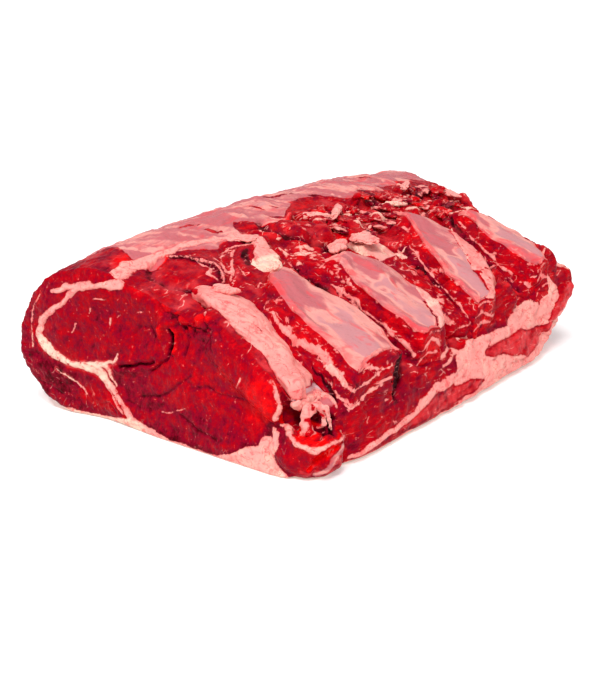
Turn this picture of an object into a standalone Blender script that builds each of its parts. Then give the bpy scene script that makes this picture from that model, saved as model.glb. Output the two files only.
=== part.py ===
"""A boneless rib roast (entrecote), five ribs long, lying fat side down with its rib side up.

The roast is one solid: a body with a cut face at its near end, a rounded ridge along its left side, a
strip of fat and four fingers of rib meat that slope down to its right side, a rolled flap at the near
right corner, and scraps of trimmed meat between the ridge and the fingers.

Metres. X runs across from the ridge to the rib tails, Y from the cut face to the far end, Z up. The
origin is under the middle of the roast, on the surface that it lies on. Places along the body are
shares of its length, from 0 at the cut face to 1 at the far end.
"""

import math
from typing import NamedTuple

import bmesh
import bpy
from mathutils import Matrix, Vector, noise

NODE = "entrecote"
NOISE_SEED = 5

# The cut face: it bulges at the left and spreads towards the table between the two foot limits.
CUT_FACE_Y = -0.171
CUT_FACE_BULGE = 0.022
CUT_FACE_BULGE_WIDTH = 0.113
CUT_FACE_FOOT = 0.014
CUT_FACE_FOOT_X = (-0.063, 0.117)

# The far end is slanted, rounded at its top and its left corner, and undercut at its right foot.
FAR_END_Y = 0.168
FAR_END_SLANT = 0.45
FAR_END_TOP_ROUNDING = 0.020
FAR_END_FOOT = 0.050
FAR_END_FOOT_HEIGHT = 0.035
FAR_END_LEFT_SHARE = 0.3
FAR_CORNER_X = -0.062
FAR_CORNER_RADIUS = 0.025

# The ridge is half an ellipse in section, as high above the middle line as it is below it.
MIDDLE_HEIGHT = 0.046
RIDGE_X = -0.053
RIDGE_REACH = 0.063
RIDGE_HEIGHT = ((0.0, 0.099), (0.12, 0.105), (0.40, 0.108), (0.75, 0.104), (1.0, 0.092))
RIDGE_SIDE_HEIGHT = 0.080
CORNER_TRIM = 0.30
CORNER_LENGTH = 0.15

# The right side, which spreads towards the table except at its corners.
SIDE_X = ((0.0, 0.095), (0.15, 0.103), (0.80, 0.108), (1.0, 0.117))
SIDE_HEIGHT = ((0.0, 0.034), (0.35, 0.038), (0.65, 0.045), (1.0, 0.056))
SIDE_FOOT = 0.010

# How much of the fall from the crest to the right side is reached, by the share of the way across.
FALL = ((0.0, 0.0), (0.10, 0.13), (0.30, 0.27), (0.50, 0.46), (0.75, 0.71), (1.0, 1.0))

BODY_CELLS = (13, 18, 5)
RIM_FACING = 0.8
RIM_ANGLE = math.radians(40)
RIM_CREASE = 0.6
LUMP_HEIGHT = 0.0022
LUMP_SPACING = 0.026
FLAT_HEIGHT = 0.015


class Finger(NamedTuple):
    """A bar of rib meat: its top's centre line, its widths at both ends, its near wall's slant, its depth."""

    start: tuple
    end: tuple
    start_width: float
    end_width: float
    slant: float
    depth: float


FINGERS = {
    "fat_strip": Finger((0.009, -0.155, 0.088), (0.085, -0.159, 0.045), 0.030, 0.036, 0.002, 0.022),
    "rib_finger_1": Finger((0.001, -0.086, 0.091), (0.107, -0.113, 0.054), 0.028, 0.045, 0.020, 0.028),
    "rib_finger_2": Finger((0.013, -0.023, 0.092), (0.105, -0.047, 0.058), 0.032, 0.028, 0.026, 0.028),
    "rib_bed_step": Finger((0.011, 0.008, 0.086), (0.103, -0.009, 0.049), 0.022, 0.020, 0.016, 0.022),
    "rib_finger_3": Finger((0.005, 0.059, 0.098), (0.107, 0.027, 0.062), 0.024, 0.042, 0.022, 0.028),
    "rib_finger_4": Finger((0.023, 0.102, 0.094), (0.111, 0.085, 0.071), 0.022, 0.034, 0.018, 0.030),
}
FINGER_CELLS = (6, 3, 2)
FINGER_DOME = 0.003
FINGER_START_DROP = 0.010
FINGER_START_SHARE = 0.25

# The narrow slit behind each bar that has a rib bed beyond it.
SLIT_BEHIND = ("fat_strip", "rib_finger_1", "rib_finger_2", "rib_finger_3")
SLIT_WIDTH = 0.005
SLIT_DEPTH = 0.025
SLIT_RISE = 0.008
SLIT_SHIFT = 0.06

# The deep fold in the cut face: a hooked groove that thins towards its tail, as (x, z) points.
FOLD_PATH = ((-0.003, 0.070), (0.000, 0.060), (-0.009, 0.049), (-0.023, 0.042), (-0.040, 0.038))
FOLD_RADIUS = 0.0048
FOLD_THINNING = 0.15

# The rolled flap at the near right corner, and the hollows: a centre and three radii each.
FLAP = ((0.091, -0.164, 0.014), (0.023, 0.020, 0.019))
HOLLOWS = {
    "corner_cup": ((0.093, -0.171, 0.034), (0.014, 0.014, 0.010)),
    "side_gap": ((0.109, -0.083, 0.042), (0.007, 0.005, 0.010)),
    "near_pocket": ((0.001, -0.126, 0.087), (0.007, 0.011, 0.007)),
    "middle_pocket": ((-0.025, -0.011, 0.098), (0.008, 0.013, 0.008)),
    "far_pocket": ((-0.011, 0.107, 0.095), (0.010, 0.016, 0.010)),
}

# Trimmed scraps in a ragged row between the ridge and the fingers.
SCRAP_COUNT = 18
SCRAP_RADII = (0.008, 0.017)
SCRAP_FLATNESS = (1.0, 0.60, 0.45)
SCRAP_ROW = ((-0.019, -0.061), (-0.009, 0.151))
SCRAP_SPREAD = (0.020, 0.008)
SCRAP_SINK = 0.25

RED_MEAT = (0.42, 0.012, 0.020, 1.0)
MEAT_ROUGHNESS = 0.35


def between(stops, place):
    """The value at a place along a row of (place, value) stops, on straight lines between them."""
    place = min(max(place, stops[0][0]), stops[-1][0])
    for (start, low), (end, high) in zip(stops, stops[1:]):
        if place <= end:
            return low + (high - low) * (place - start) / (end - start)
    return stops[-1][1]


def eased(share):
    """The share of a way from 0 to 1, slowed down at both ends."""
    share = min(max(share, 0.0), 1.0)
    return share * share * (3 - 2 * share)


def top_height(x, along):
    """The height of the body's top, without the fingers."""
    crest = between(RIDGE_HEIGHT, along)
    if x < RIDGE_X:
        reach = max(0.0, 1 - ((x - RIDGE_X) / RIDGE_REACH) ** 2)
        return MIDDLE_HEIGHT + (crest - MIDDLE_HEIGHT) * math.sqrt(reach)
    across = (x - RIDGE_X) / (between(SIDE_X, along) - RIDGE_X)
    return crest - (crest - between(SIDE_HEIGHT, along)) * between(FALL, across)


def left_x(z, along):
    """The body's left side: the ridge's ellipse, trimmed at the near top corner and at the far end."""
    rise = (z - MIDDLE_HEIGHT) / (between(RIDGE_HEIGHT, along) - MIDDLE_HEIGHT)
    near_trim = max(0.0, rise) * (1 - eased(along / CORNER_LENGTH))
    far_trim = eased((along - 1 + 2 * CORNER_LENGTH) / (2 * CORNER_LENGTH))
    reach = RIDGE_REACH * (1 - CORNER_TRIM * (near_trim + far_trim))
    return RIDGE_X - reach * math.sqrt(max(0.0, 1 - rise * rise))


def right_x(z, along):
    """The body's right side at a height."""
    share = min(1.0, z / between(SIDE_HEIGHT, along))
    spread = eased(along / CORNER_LENGTH) * eased((1 - along) / (2 * CORNER_LENGTH))
    return between(SIDE_X, along) + SIDE_FOOT * (1 - share * share) * spread


def cut_face_y(x, up):
    """Where the cut face lies, for a share of its height."""
    low, high = CUT_FACE_FOOT_X
    width = (high - low) / 3
    foot = CUT_FACE_FOOT * (1 - up) ** 2 * eased((x - low) / width) * eased(2 * (high - x) / width)
    return CUT_FACE_Y - CUT_FACE_BULGE * eased(-x / CUT_FACE_BULGE_WIDTH) - foot


def far_end_y(x, z):
    """Where the far end lies."""
    top = FAR_END_TOP_ROUNDING * (max(0.0, z - MIDDLE_HEIGHT) / MIDDLE_HEIGHT) ** 2
    right = FAR_END_LEFT_SHARE + (1 - FAR_END_LEFT_SHARE) * eased(x / SIDE_X[-1][1])
    foot = FAR_END_FOOT * right * max(0.0, 1 - z / FAR_END_FOOT_HEIGHT) ** 1.5
    past_corner = max(0.0, FAR_CORNER_X - x)
    corner = past_corner * (FAR_END_SLANT + past_corner / (2 * FAR_CORNER_RADIUS))
    return FAR_END_Y - FAR_END_SLANT * x - top - foot - corner


def body_point(across, along, up):
    """Where a point of the unit block lies on the roast's body."""
    left = left_x(up * RIDGE_SIDE_HEIGHT, along)
    right = right_x(up * between(SIDE_HEIGHT, along), along)
    top_left = left_x(RIDGE_SIDE_HEIGHT, along)
    top_right = between(SIDE_X, along)
    x = left + (right - left) * across
    z = up * top_height(top_left + (top_right - top_left) * across, along)
    near, far = cut_face_y(x, up), far_end_y(x, z)
    return Vector((x, near + (far - near) * along, z))


def sideways(finger):
    """The level direction across a bar, towards its far side."""
    run = Vector(finger.end) - Vector(finger.start)
    return Vector((-run.y, run.x, 0.0)).normalized()


def finger_point(finger, length, width, up):
    """Where a point of the unit block lies on a bar: length runs to its end, width to its far side."""
    centre = Vector(finger.start).lerp(Vector(finger.end), length)
    full_width = finger.start_width + (finger.end_width - finger.start_width) * length
    slant = finger.slant * (1 - up) * max(0.0, 1 - 2 * width)
    dome = FINGER_DOME * (1 - (2 * width - 1) ** 2) * up
    drop = FINGER_START_DROP * max(0.0, 1 - length / FINGER_START_SHARE) ** 2
    height = dome - drop - finger.depth * (1 - up)
    return centre + sideways(finger) * ((width - 0.5) * full_width - slant) + Vector((0.0, 0.0, height))


def slit_point(finger, length, width, up):
    """Where a point of the unit block lies on the blade that cuts the slit behind a bar."""
    centre = Vector(finger.start).lerp(Vector(finger.end), length + SLIT_SHIFT)
    full_width = finger.start_width + (finger.end_width - finger.start_width) * length
    side = 0.5 * full_width + SLIT_WIDTH * (width - 0.2) * (0.25 + up)
    height = SLIT_RISE - (SLIT_DEPTH + SLIT_RISE) * (1 - up)
    return centre + sideways(finger) * side + Vector((0.0, 0.0, height))


def block(cells, place):
    """A cube cut into cells along each axis, with each vertex moved to its place on the shape."""
    mesh = bmesh.new()
    bmesh.ops.create_cube(mesh, size=1.0)
    for axis, count in enumerate(cells):
        edges = [e for e in mesh.edges if abs((e.verts[0].co - e.verts[1].co)[axis]) > 0.5]
        bmesh.ops.subdivide_edges(mesh, edges=edges, cuts=count - 1, use_grid_fill=True)
    for vertex in mesh.verts:
        vertex.co = place(*(vertex.co + Vector((0.5, 0.5, 0.5))))
    return mesh


def ellipsoid(centre, radii, detail=2):
    """An icosphere stretched to three radii."""
    mesh = bmesh.new()
    bmesh.ops.create_icosphere(mesh, subdivisions=detail, radius=1.0)
    bmesh.ops.scale(mesh, vec=Vector(radii), verts=mesh.verts)
    bmesh.ops.translate(mesh, vec=Vector(centre), verts=mesh.verts)
    return mesh


def sharpen_rims(mesh):
    """Keeps the rims of the two end faces half sharp when the body is rounded."""
    crease = mesh.edges.layers.float.new("crease_edge")
    mesh.normal_update()
    for edge in mesh.edges:
        facing = max(abs(face.normal.y) for face in edge.link_faces)
        if facing > RIM_FACING and edge.calc_face_angle() > RIM_ANGLE:
            edge[crease] = RIM_CREASE


def rounded(mesh):
    """The mesh after one step of subdivision."""
    shape = bpy.data.meshes.new("cage")
    mesh.to_mesh(shape)
    mesh.free()
    cage = bpy.data.objects.new("cage", shape)
    bpy.context.scene.collection.objects.link(cage)
    smooth = cage.modifiers.new("Subdivision", "SUBSURF")
    smooth.levels = smooth.render_levels = 1
    bpy.context.view_layer.update()
    finished = bmesh.new()
    finished.from_object(cage, bpy.context.evaluated_depsgraph_get())
    bpy.data.objects.remove(cage)
    bpy.data.meshes.remove(shape)
    return finished


def roughen(mesh, height, spacing):
    """Raises and sinks soft lumps along the surface, and leaves what lies on the table flat."""
    mesh.normal_update()
    moves = []
    for vertex in mesh.verts:
        lump = noise.noise(vertex.co / spacing) + 0.4 * noise.noise(2.5 * vertex.co / spacing)
        free = min(1.0, max(0.0, vertex.co.z / FLAT_HEIGHT))
        moves.append(vertex.normal * lump * height * free)
    for vertex, move in zip(mesh.verts, moves):
        vertex.co += move


def add_object(name, mesh, collection):
    """Turns a bmesh into a named, smooth-shaded object of a collection."""
    bmesh.ops.recalc_face_normals(mesh, faces=mesh.faces)
    shape = bpy.data.meshes.new(name)
    mesh.to_mesh(shape)
    mesh.free()
    shape.shade_smooth()
    made = bpy.data.objects.new(name, shape)
    collection.objects.link(made)
    return made


def make_body(collection):
    cage = block(BODY_CELLS, body_point)
    sharpen_rims(cage)
    mesh = rounded(cage)
    roughen(mesh, LUMP_HEIGHT, LUMP_SPACING)
    return add_object(NODE, mesh, collection)


def make_fingers(collection):
    for name, finger in FINGERS.items():
        mesh = rounded(block(FINGER_CELLS, lambda *at, bar=finger: finger_point(bar, *at)))
        roughen(mesh, 0.5 * LUMP_HEIGHT, 0.6 * LUMP_SPACING)
        add_object(name, mesh, collection)


def make_flap(collection):
    mesh = ellipsoid(*FLAP, detail=3)
    for vertex in mesh.verts:
        vertex.co.z = max(vertex.co.z, 0.0)
    add_object("corner_flap", mesh, collection)


def make_scraps(collection):
    """Torn lumps, each turned its own way and part sunk in the body."""
    first, last = (Vector(end) for end in SCRAP_ROW)
    for index in range(SCRAP_COUNT):
        draw = noise.random_unit_vector()
        x, y = first.lerp(last, index / (SCRAP_COUNT - 1))
        x += SCRAP_SPREAD[0] * draw.x
        y += SCRAP_SPREAD[1] * draw.y
        size = SCRAP_RADII[0] + (SCRAP_RADII[1] - SCRAP_RADII[0]) * abs(draw.z)
        along = (y - CUT_FACE_Y) / (FAR_END_Y - CUT_FACE_Y)
        mesh = ellipsoid((0.0, 0.0, 0.0), size * Vector(SCRAP_FLATNESS))
        turn = Vector((0.0, 0.0, 1.0)).rotation_difference(draw).to_matrix()
        bmesh.ops.rotate(mesh, verts=mesh.verts, matrix=turn)
        place = Vector((x, y, top_height(x, along) - SCRAP_SINK * size))
        bmesh.ops.translate(mesh, verts=mesh.verts, vec=place)
        add_object(f"scrap_{index}", mesh, collection)


def make_slit_cutters(collection):
    for name in SLIT_BEHIND:
        mesh = block((FINGER_CELLS[0], 1, 1), lambda *at, bar=FINGERS[name]: slit_point(bar, *at))
        add_object(f"{name}_slit", mesh, collection)


def make_fold_cutter(collection):
    """A hooked tube along the fold, with its near half out in front of the cut face."""
    path = bpy.data.curves.new("cut_face_fold", "CURVE")
    path.dimensions = "3D"
    path.bevel_depth = FOLD_RADIUS
    path.bevel_resolution = 2
    path.use_fill_caps = True
    path.resolution_u = 3
    spline = path.splines.new("BEZIER")
    spline.bezier_points.add(len(FOLD_PATH) - 1)
    for index, (point, (x, z)) in enumerate(zip(spline.bezier_points, FOLD_PATH)):
        point.co = (x, cut_face_y(x, z / top_height(x, 0.0)), z)
        point.radius = 1.0 - FOLD_THINNING * index
        point.handle_left_type = point.handle_right_type = "AUTO"
    guide = bpy.data.objects.new("cut_face_fold_path", path)
    bpy.context.scene.collection.objects.link(guide)
    bpy.context.view_layer.update()
    evaluated = guide.evaluated_get(bpy.context.evaluated_depsgraph_get())
    mesh = bmesh.new()
    mesh.from_mesh(bpy.data.meshes.new_from_object(evaluated))
    bmesh.ops.remove_doubles(mesh, verts=mesh.verts, dist=0.00001)
    bpy.data.objects.remove(guide)
    add_object("cut_face_fold", mesh, collection)


def make_hollow_cutters(collection):
    for name, (centre, radii) in HOLLOWS.items():
        add_object(name, ellipsoid(centre, radii), collection)


def combine(target, operation, collection):
    """Joins a whole collection to the target or cuts it away, then removes the collection's objects."""
    modifier = target.modifiers.new(operation.title(), "BOOLEAN")
    modifier.operation = operation
    modifier.operand_type = "COLLECTION"
    modifier.collection = collection
    modifier.solver = "MANIFOLD"
    bpy.context.view_layer.objects.active = target
    bpy.ops.object.modifier_apply(modifier=modifier.name)
    for used in list(collection.objects):
        bpy.data.objects.remove(used)
    bpy.data.collections.remove(collection)


def centre_over_origin(target):
    """Moves the shape sideways until the middle of its box is over the origin."""
    corners = [Vector(corner) for corner in target.bound_box]
    middle = 0.5 * (Vector(map(min, zip(*corners))) + Vector(map(max, zip(*corners))))
    target.data.transform(Matrix.Translation((-middle.x, -middle.y, 0.0)))


def meat_material():
    material = bpy.data.materials.new("raw_meat")
    material.use_nodes = True
    shader = material.node_tree.nodes["Principled BSDF"]
    shader.inputs["Base Color"].default_value = RED_MEAT
    shader.inputs["Roughness"].default_value = MEAT_ROUGHNESS
    shader.inputs["Metallic"].default_value = 0.0
    return material


def new_collection(name):
    collection = bpy.data.collections.new(name)
    bpy.context.scene.collection.children.link(collection)
    return collection


def main():
    for old in list(bpy.data.objects):
        bpy.data.objects.remove(old)
    noise.seed_set(NOISE_SEED)
    body = make_body(new_collection("boneless_rib_roast"))

    joined = new_collection("joined_pieces")
    make_fingers(joined)
    make_flap(joined)
    make_scraps(joined)
    combine(body, "UNION", joined)

    cutters = new_collection("cutters")
    make_slit_cutters(cutters)
    make_fold_cutter(cutters)
    make_hollow_cutters(cutters)
    combine(body, "DIFFERENCE", cutters)

    centre_over_origin(body)
    body.data.shade_smooth()
    body.data.materials.clear()
    body.data.materials.append(meat_material())


main()
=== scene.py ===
"""The looks of a boneless rib roast that lies fat side down, with its rib side up.

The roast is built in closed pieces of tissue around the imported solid: the end with the cut face and the
rolled flap at its right corner, the ridge muscle under its silverskin, the rib bed, the far end, the bars
of rib meat and the low step between two of them, the strip of fat, the torn scraps beside the ridge, and
the tags, leaves and curls of fat.

Metres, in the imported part's own frame: X runs across from the ridge to the rib tails, Y from the cut face
to the far end, Z up.
"""

import itertools
import math
from typing import NamedTuple

import bmesh
import bpy
import numpy as np
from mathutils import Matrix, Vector
from mathutils.bvhtree import BVHTree


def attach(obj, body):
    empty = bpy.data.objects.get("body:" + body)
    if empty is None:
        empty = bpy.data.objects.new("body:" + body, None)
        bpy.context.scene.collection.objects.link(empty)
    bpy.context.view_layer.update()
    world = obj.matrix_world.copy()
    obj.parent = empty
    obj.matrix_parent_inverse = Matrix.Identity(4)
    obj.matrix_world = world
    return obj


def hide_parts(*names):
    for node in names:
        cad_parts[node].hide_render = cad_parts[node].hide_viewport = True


bl_info = {
    "name": "Boneless rib roast",
    "version": (1, 0, 0),
    "blender": (4, 5, 0),
    "location": "3D View > Sidebar > Roast",
    "description": "Models and finishes a boneless rib roast around its packed solid",
    "category": "Object",
}

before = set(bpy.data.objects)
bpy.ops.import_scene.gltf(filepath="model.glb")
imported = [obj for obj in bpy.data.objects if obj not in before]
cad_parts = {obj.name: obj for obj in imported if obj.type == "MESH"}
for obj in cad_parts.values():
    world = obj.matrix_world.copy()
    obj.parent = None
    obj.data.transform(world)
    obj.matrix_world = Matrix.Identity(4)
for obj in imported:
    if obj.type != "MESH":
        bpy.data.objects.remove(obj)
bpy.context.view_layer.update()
NODE = "entrecote"
BODY = "root"

# ---------------------------------------------------------------- noise and shape fields


def lattice_slopes(cells, seed):
    """Three repeatable numbers from -1 to 1 for every whole cell."""
    with np.errstate(over="ignore"):
        key = cells[:, 0].astype(np.uint32) * np.uint32(0x9E3779B1)
        key ^= cells[:, 1].astype(np.uint32) * np.uint32(0x85EBCA77)
        key ^= cells[:, 2].astype(np.uint32) * np.uint32(0xC2B2AE3D)
        key += np.uint32(seed * 7919 + 17)
        key ^= key >> np.uint32(15)
        key *= np.uint32(0x2C1B3C6D)
        key ^= key >> np.uint32(12)
        key *= np.uint32(0x297A2D39)
        key ^= key >> np.uint32(15)
    parts = [(key >> np.uint32(shift)) & np.uint32(1023) for shift in (0, 10, 20)]
    return np.stack(parts, axis=1) / 511.5 - 1.0


def noise(points, size, seed=0):
    """Smooth noise from about -1 to 1, whose lumps have a size (or three sizes) in metres."""
    scaled = points / np.asarray(size) + 31.7 * seed
    cell = np.floor(scaled).astype(np.int64)
    inside = scaled - cell
    eased = inside**3 * (inside * (inside * 6 - 15) + 10)
    total = np.zeros(len(points))
    for corner in itertools.product((0, 1), repeat=3):
        corner = np.array(corner)
        weight = np.prod(np.where(corner == 1, eased, 1 - eased), axis=1)
        total += weight * np.einsum("ij,ij->i", lattice_slopes(cell + corner, seed), inside - corner)
    return 1.6 * total


def noises(points, sizes, seed):
    """Noises of several sizes, each with a seed of its own."""
    return [noise(points, size, seed + index) for index, size in enumerate(sizes)]


def layered(points, size, seed=0, layers=3):
    """Noise with finer and weaker noise on top."""
    size = np.asarray(size, float)
    steps = range(layers)
    return sum(noise(points, size / 2**k, seed + k) / 2**k for k in steps) / 1.5


def ridged(points, size, seed=0):
    """1 along wandering lines and 0 away from them."""
    return 1 - np.minimum(1, np.abs(noise(points, size, seed)) * 3)


def ramp(value, low, high):
    """0 below low, 1 above high, eased between; low may be the higher one."""
    share = np.clip((value - low) / (high - low), 0, 1)
    return share * share * (3 - 2 * share)


def warped(points, reach, size, seed):
    """The points moved about by noise, so that lines drawn on them wander."""
    shift = [noise(points, size, seed + axis) for axis in range(3)]
    return points + reach * np.stack(shift, axis=1)


def most(*fields):
    """The highest of several fields at every point."""
    return np.maximum.reduce(fields)


def bell(value, width):
    """1 where the value is 0, and falling off smoothly on both sides."""
    return np.exp(-((value / width) ** 2))


def band(a, b, stops):
    """How far (a, b) lies inside a band along the stops, each with its half width; below 0 outside."""
    best = np.full(len(a), -1.0)
    for (a0, b0, w0), (a1, b1, w1) in zip(stops, stops[1:]):
        run_a, run_b = a1 - a0, b1 - b0
        share = np.clip(((a - a0) * run_a + (b - b0) * run_b) / (run_a**2 + run_b**2), 0, 1)
        gap = np.hypot(a - a0 - share * run_a, b - b0 - share * run_b)
        best = np.maximum(best, w0 + (w1 - w0) * share - gap)
    return best


def bands(a, b, lines):
    """The same for several bands at once."""
    return most(*(band(a, b, line) for line in lines))


def blob(a, b, centre, radii, turn=0.0):
    """How far (a, b) lies inside an ellipse, turned anticlockwise by an angle; below 0 outside."""
    cos, sin = math.cos(turn), math.sin(turn)
    along = (a - centre[0]) * cos + (b - centre[1]) * sin
    across = (b - centre[1]) * cos - (a - centre[0]) * sin
    return (1 - np.hypot(along / radii[0], across / radii[1])) * min(radii)


def under(a, b, line):
    """How far (a, b) lies below a line of (a, b) points."""
    return np.interp(a, *zip(*line)) - b


class Look(NamedTuple):
    """What the surface is made of: distances inside fat and membrane, tones, and how far it is raised."""

    fat: np.ndarray
    skin: np.ndarray
    tone: np.ndarray
    cream: np.ndarray
    rise: np.ndarray
    veins: np.ndarray


def blended(parts):
    """One Look from (weight, Look) pairs, whose weights are shares of what is left."""
    total = [np.zeros(len(parts[0][0])) for _ in Look._fields]
    left = np.ones(len(parts[0][0]))
    for weight, look in parts:
        share = left * weight
        total = [have + share * np.clip(more, -1, 1) for have, more in zip(total, look)]
        left = left - share
    return Look(*total)


# ---------------------------------------------------------------- where the tissues lie


def mm(*stops):
    """Stops written in millimetres, in metres."""
    return tuple(tuple(number / 1000 for number in stop) for stop in stops)


def thin(*stops):
    """The same for a line without any width."""
    return mm(*((*stop, 0) for stop in stops))


# The cut face, as (x, z, half width): the pale seam round the eye muscle and what branches from it.
EYE_SEAM = mm(
    (-40, 90, 4), (-50, 88.5, 2.4), (-60, 87, 1.8), (-68, 84, 2.6), (-75, 78, 2.2), (-82, 71, 1.8),
    (-90, 65, 2.6), (-96, 58, 2.8), (-99, 51, 3.4), (-96, 45, 4), (-89, 40, 4.2), (-82, 35.5, 3),
    (-74, 33.5, 1.6), (-65, 34, 2.8), (-57, 33, 4.6), (-52, 27, 3.2), (-46, 21, 2), (-40, 15.5, 2),
    (-34, 11, 1.8), (-28, 6, 3.4),
)
SEAM_BRANCHES = (
    mm((-56, 36, 2.4), (-50, 38.5, 1.2), (-44, 40.5, 0.8), (-41, 45, 0.6)),
    mm((-50, 37, 1.6), (-48, 31, 1), (-44, 24, 0.7)),
    mm((-53, 26, 1.2), (-46, 18, 0.6), (-41, 12, 0.6), (-36, 9, 1)),
    mm((-58, 89, 1.2), (-70, 86, 1.6), (-78, 83, 2.4), (-86, 80, 1.2)),
    mm((-96, 76, 0.5), (-103, 64, 0.6), (-105, 52, 0.6), (-104, 40, 0.3)),
    mm((-86, 28, 0.3), (-72, 22, 0.6), (-66, 15, 0.4)),
)
EYE_FLECKS = (
    mm((-47.5, 64, 0.5), (-46.5, 68, 0.9)),
    mm((-73.5, 54, 0.3), (-70, 62, 0.6)),
    mm((-56, 79.5, 0.5), (-50, 79.8, 0.6)),
    mm((-42.5, 68, 0.3), (-40, 71, 0.6)),
    mm((51, 46, 0.2), (53.5, 51, 0.7)),
    mm((12, 22, 0.3), (-6, 16, 0.4)),
    mm((-61, 69, 0.2), (-59.5, 73, 0.6)),
    mm((-29, 73, 0.2), (-26, 74.5, 0.6)),
)
FOOT_FAT_TOP = mm(
    (-120, 0), (-84, 2.5), (-50, 3), (-36, 5.5), (-27, 8.5), (-16, 5), (0, 2), (40, 1.4), (50, 5), (60, 11),
    (70, 14), (84, 24), (90, 6), (96, 1.5),
)
STRIP_EDGE = mm(
    (48, 68, 0.3), (62.3, 59.7, 0.6), (68.1, 55.6, 0.7), (72.6, 51.5, 0.7), (76.4, 47.9, 0.7),
    (79, 44.1, 0.7), (80.6, 41, 0.7), (80.8, 39, 1.5), (79.3, 33.7, 2.1), (77.9, 26.8, 1.7), (79, 23.5, 1),
)

# The fold in the cut face: its open head, the tongue of meat below it, and the creases on either side.
FOLD_HOLE = mm((-5.2, 66.5, 0.2), (-3.8, 62, 0.7), (-3.6, 57, 0.5), (-5, 52, 0))
FOLD_HOOK = mm(
    (-11.5, 61, 1), (-11.2, 67, 1.6), (-8.5, 70.5, 1.7), (-4.5, 69.5, 1.4), (-1.5, 65, 1.2), (-0.5, 59, 1.4),
    (-1.5, 53, 1),
)
FOLD_CREASE = thin((-16, 46), (-22, 42.5), (-30, 40), (-40, 38))
FOLD_TAIL = thin((-4.5, 54), (-6, 49), (-11, 44), (-18, 39.5))
SECOND_FOLD = thin((2, 69), (6, 68.5), (7.5, 62), (6.5, 54))
CRACKS = (
    thin((13, 43), (7, 36), (-2, 29), (-13, 24), (-24, 21.5)),
    thin((14, 35.5), (26, 37.5), (40, 36), (52, 37)),
    thin((8, 18), (22, 13), (38, 10)),
    thin((30, 62), (24, 70), (10, 69)),
    thin((-31, 60), (-26, 66), (-19, 65), (-15, 57)),
    thin((-56, 10), (-48, 13), (-42, 8)),
    thin((-99, 18), (-90, 15), (-82, 13)),
    thin((-34, 17), (-24, 15), (-18, 12)),
    thin((74, 18), (70, 24), (66, 30)),
)

# The top, as (x, y, half width), or as the middle, the radii and the turn of an oval.
RIDGE_FAT = mm(
    (-41, -190, 4.5), (-45, -165, 5.5), (-43, -140, 4.5), (-41, -115, 4), (-39, -90, 5), (-34, -72, 4.5),
    (-28, -60, 2.5),
)
SILVERSKIN_EDGE = mm(
    (-200, -45), (-150, -40), (-128, -36), (-105, -34), (-87, -32), (-79, -29), (-69, -33), (-60, -43),
    (-49, -36), (-29, -32), (-9, -34), (6, -41), (18, -47), (29, -45), (39, -41), (48, -37), (61, -35),
    (81, -36), (94, -39), (111, -43), (130, -42), (200, -36),
)
TAG_PATCH = mm((-22.5, -74.5, 0.8), (-15, -73.2, 5.2), (-7, -76, 8.5), (-1, -82, 8.8))
TONGUE = ((-0.015, -0.025), (0.026, 0.014), 0.82)
OVAL_MUSCLE = ((-0.0217, -0.1395), (0.0205, 0.0145), 0.85)
CELL_AREA = ((-0.01, -0.097), (0.028, 0.026), -0.4)
FLECK_AREA = ((0.0, -0.045), (0.03, 0.018), -0.3)
RIDGE_NEAR_END = ((-0.05, -0.162), (0.007, 0.01))
CELL_LINES = (
    mm((-27, -122.5, 0.5), (-19, -123, 0.8), (-14, -122.5, 0.9), (-11, -127.5, 0.8), (-5, -126.5, 0.4)),
    mm((-25, -109.5, 0.3), (-19, -111, 0.7)),
    mm((-23, -103, 0.4), (-15, -113, 0.8), (-8, -118, 1), (-7, -113, 1.3), (-11, -107, 1), (-18, -96, 0.8),
       (-22, -87, 0.5)),
    mm((-7, -113, 0.8), (-2, -118, 0.5)),
    mm((-25, -99, 0.5), (-25, -91, 0.9), (-24, -78, 0.9), (-23, -72, 0.4)),
    mm((-10, -101, 0.3), (-2, -106, 0.7)),
    mm((10, -108, 0.4), (7, -104, 0.8), (13, -104, 0.4)),
    mm((-13, -55.5, 0.4), (-6, -56, 0.9), (-4, -61.5, 0.4)),
    mm((-6, -44.5, 0.4), (-1, -49, 0.7)),
    mm((-3, -39.5, 0.4), (0, -41.5, 0.7)),
)
# TAG_HOLLOW and BAR_GAPS are darkened with painted shade, and the bar gaps are sunk.
TAG_HOLLOW = mm((-17.5, -83.5, 0.6), (-13.5, -89.3, 2.6), (-8.5, -93.5, 1.6))
BAR_GAPS = (
    mm((-5, -64, 0.8), (3.9, -64, 1.8), (13.1, -65, 2.2), (21.9, -65, 2.2), (34.3, -64, 2), (45.4, -64, 1.6),
       (60, -66, 0.8)),
    mm((20, 96, 0.6), (40.9, 78.9, 1.6), (56.7, 74, 2), (69.8, 67, 1.6), (85, 58, 0.6)),
)
SILVERSKIN_GAPS = (
    mm((-57, -33, 0.4), (-52, -27, 1.6), (-49, -24, 0.5)),
    mm((-60, -8, 0.3), (-59, 6, 1), (-58.3, 20, 0.4)),
    mm((-34, -18, 2), (-40, -4, 4.2), (-43.7, 6.8, 4.8), (-46, 22.4, 2.6)),
    mm((-41, -65, 1), (-37.5, -57, 3), (-34, -50, 2)),
    mm((-60, -110, 0.3), (-56, -98, 1.2), (-53, -86, 0.4)),
    mm((-48, -90, 0.4), (-45, -82, 1.6), (-44, -76, 0.6)),
)

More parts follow.
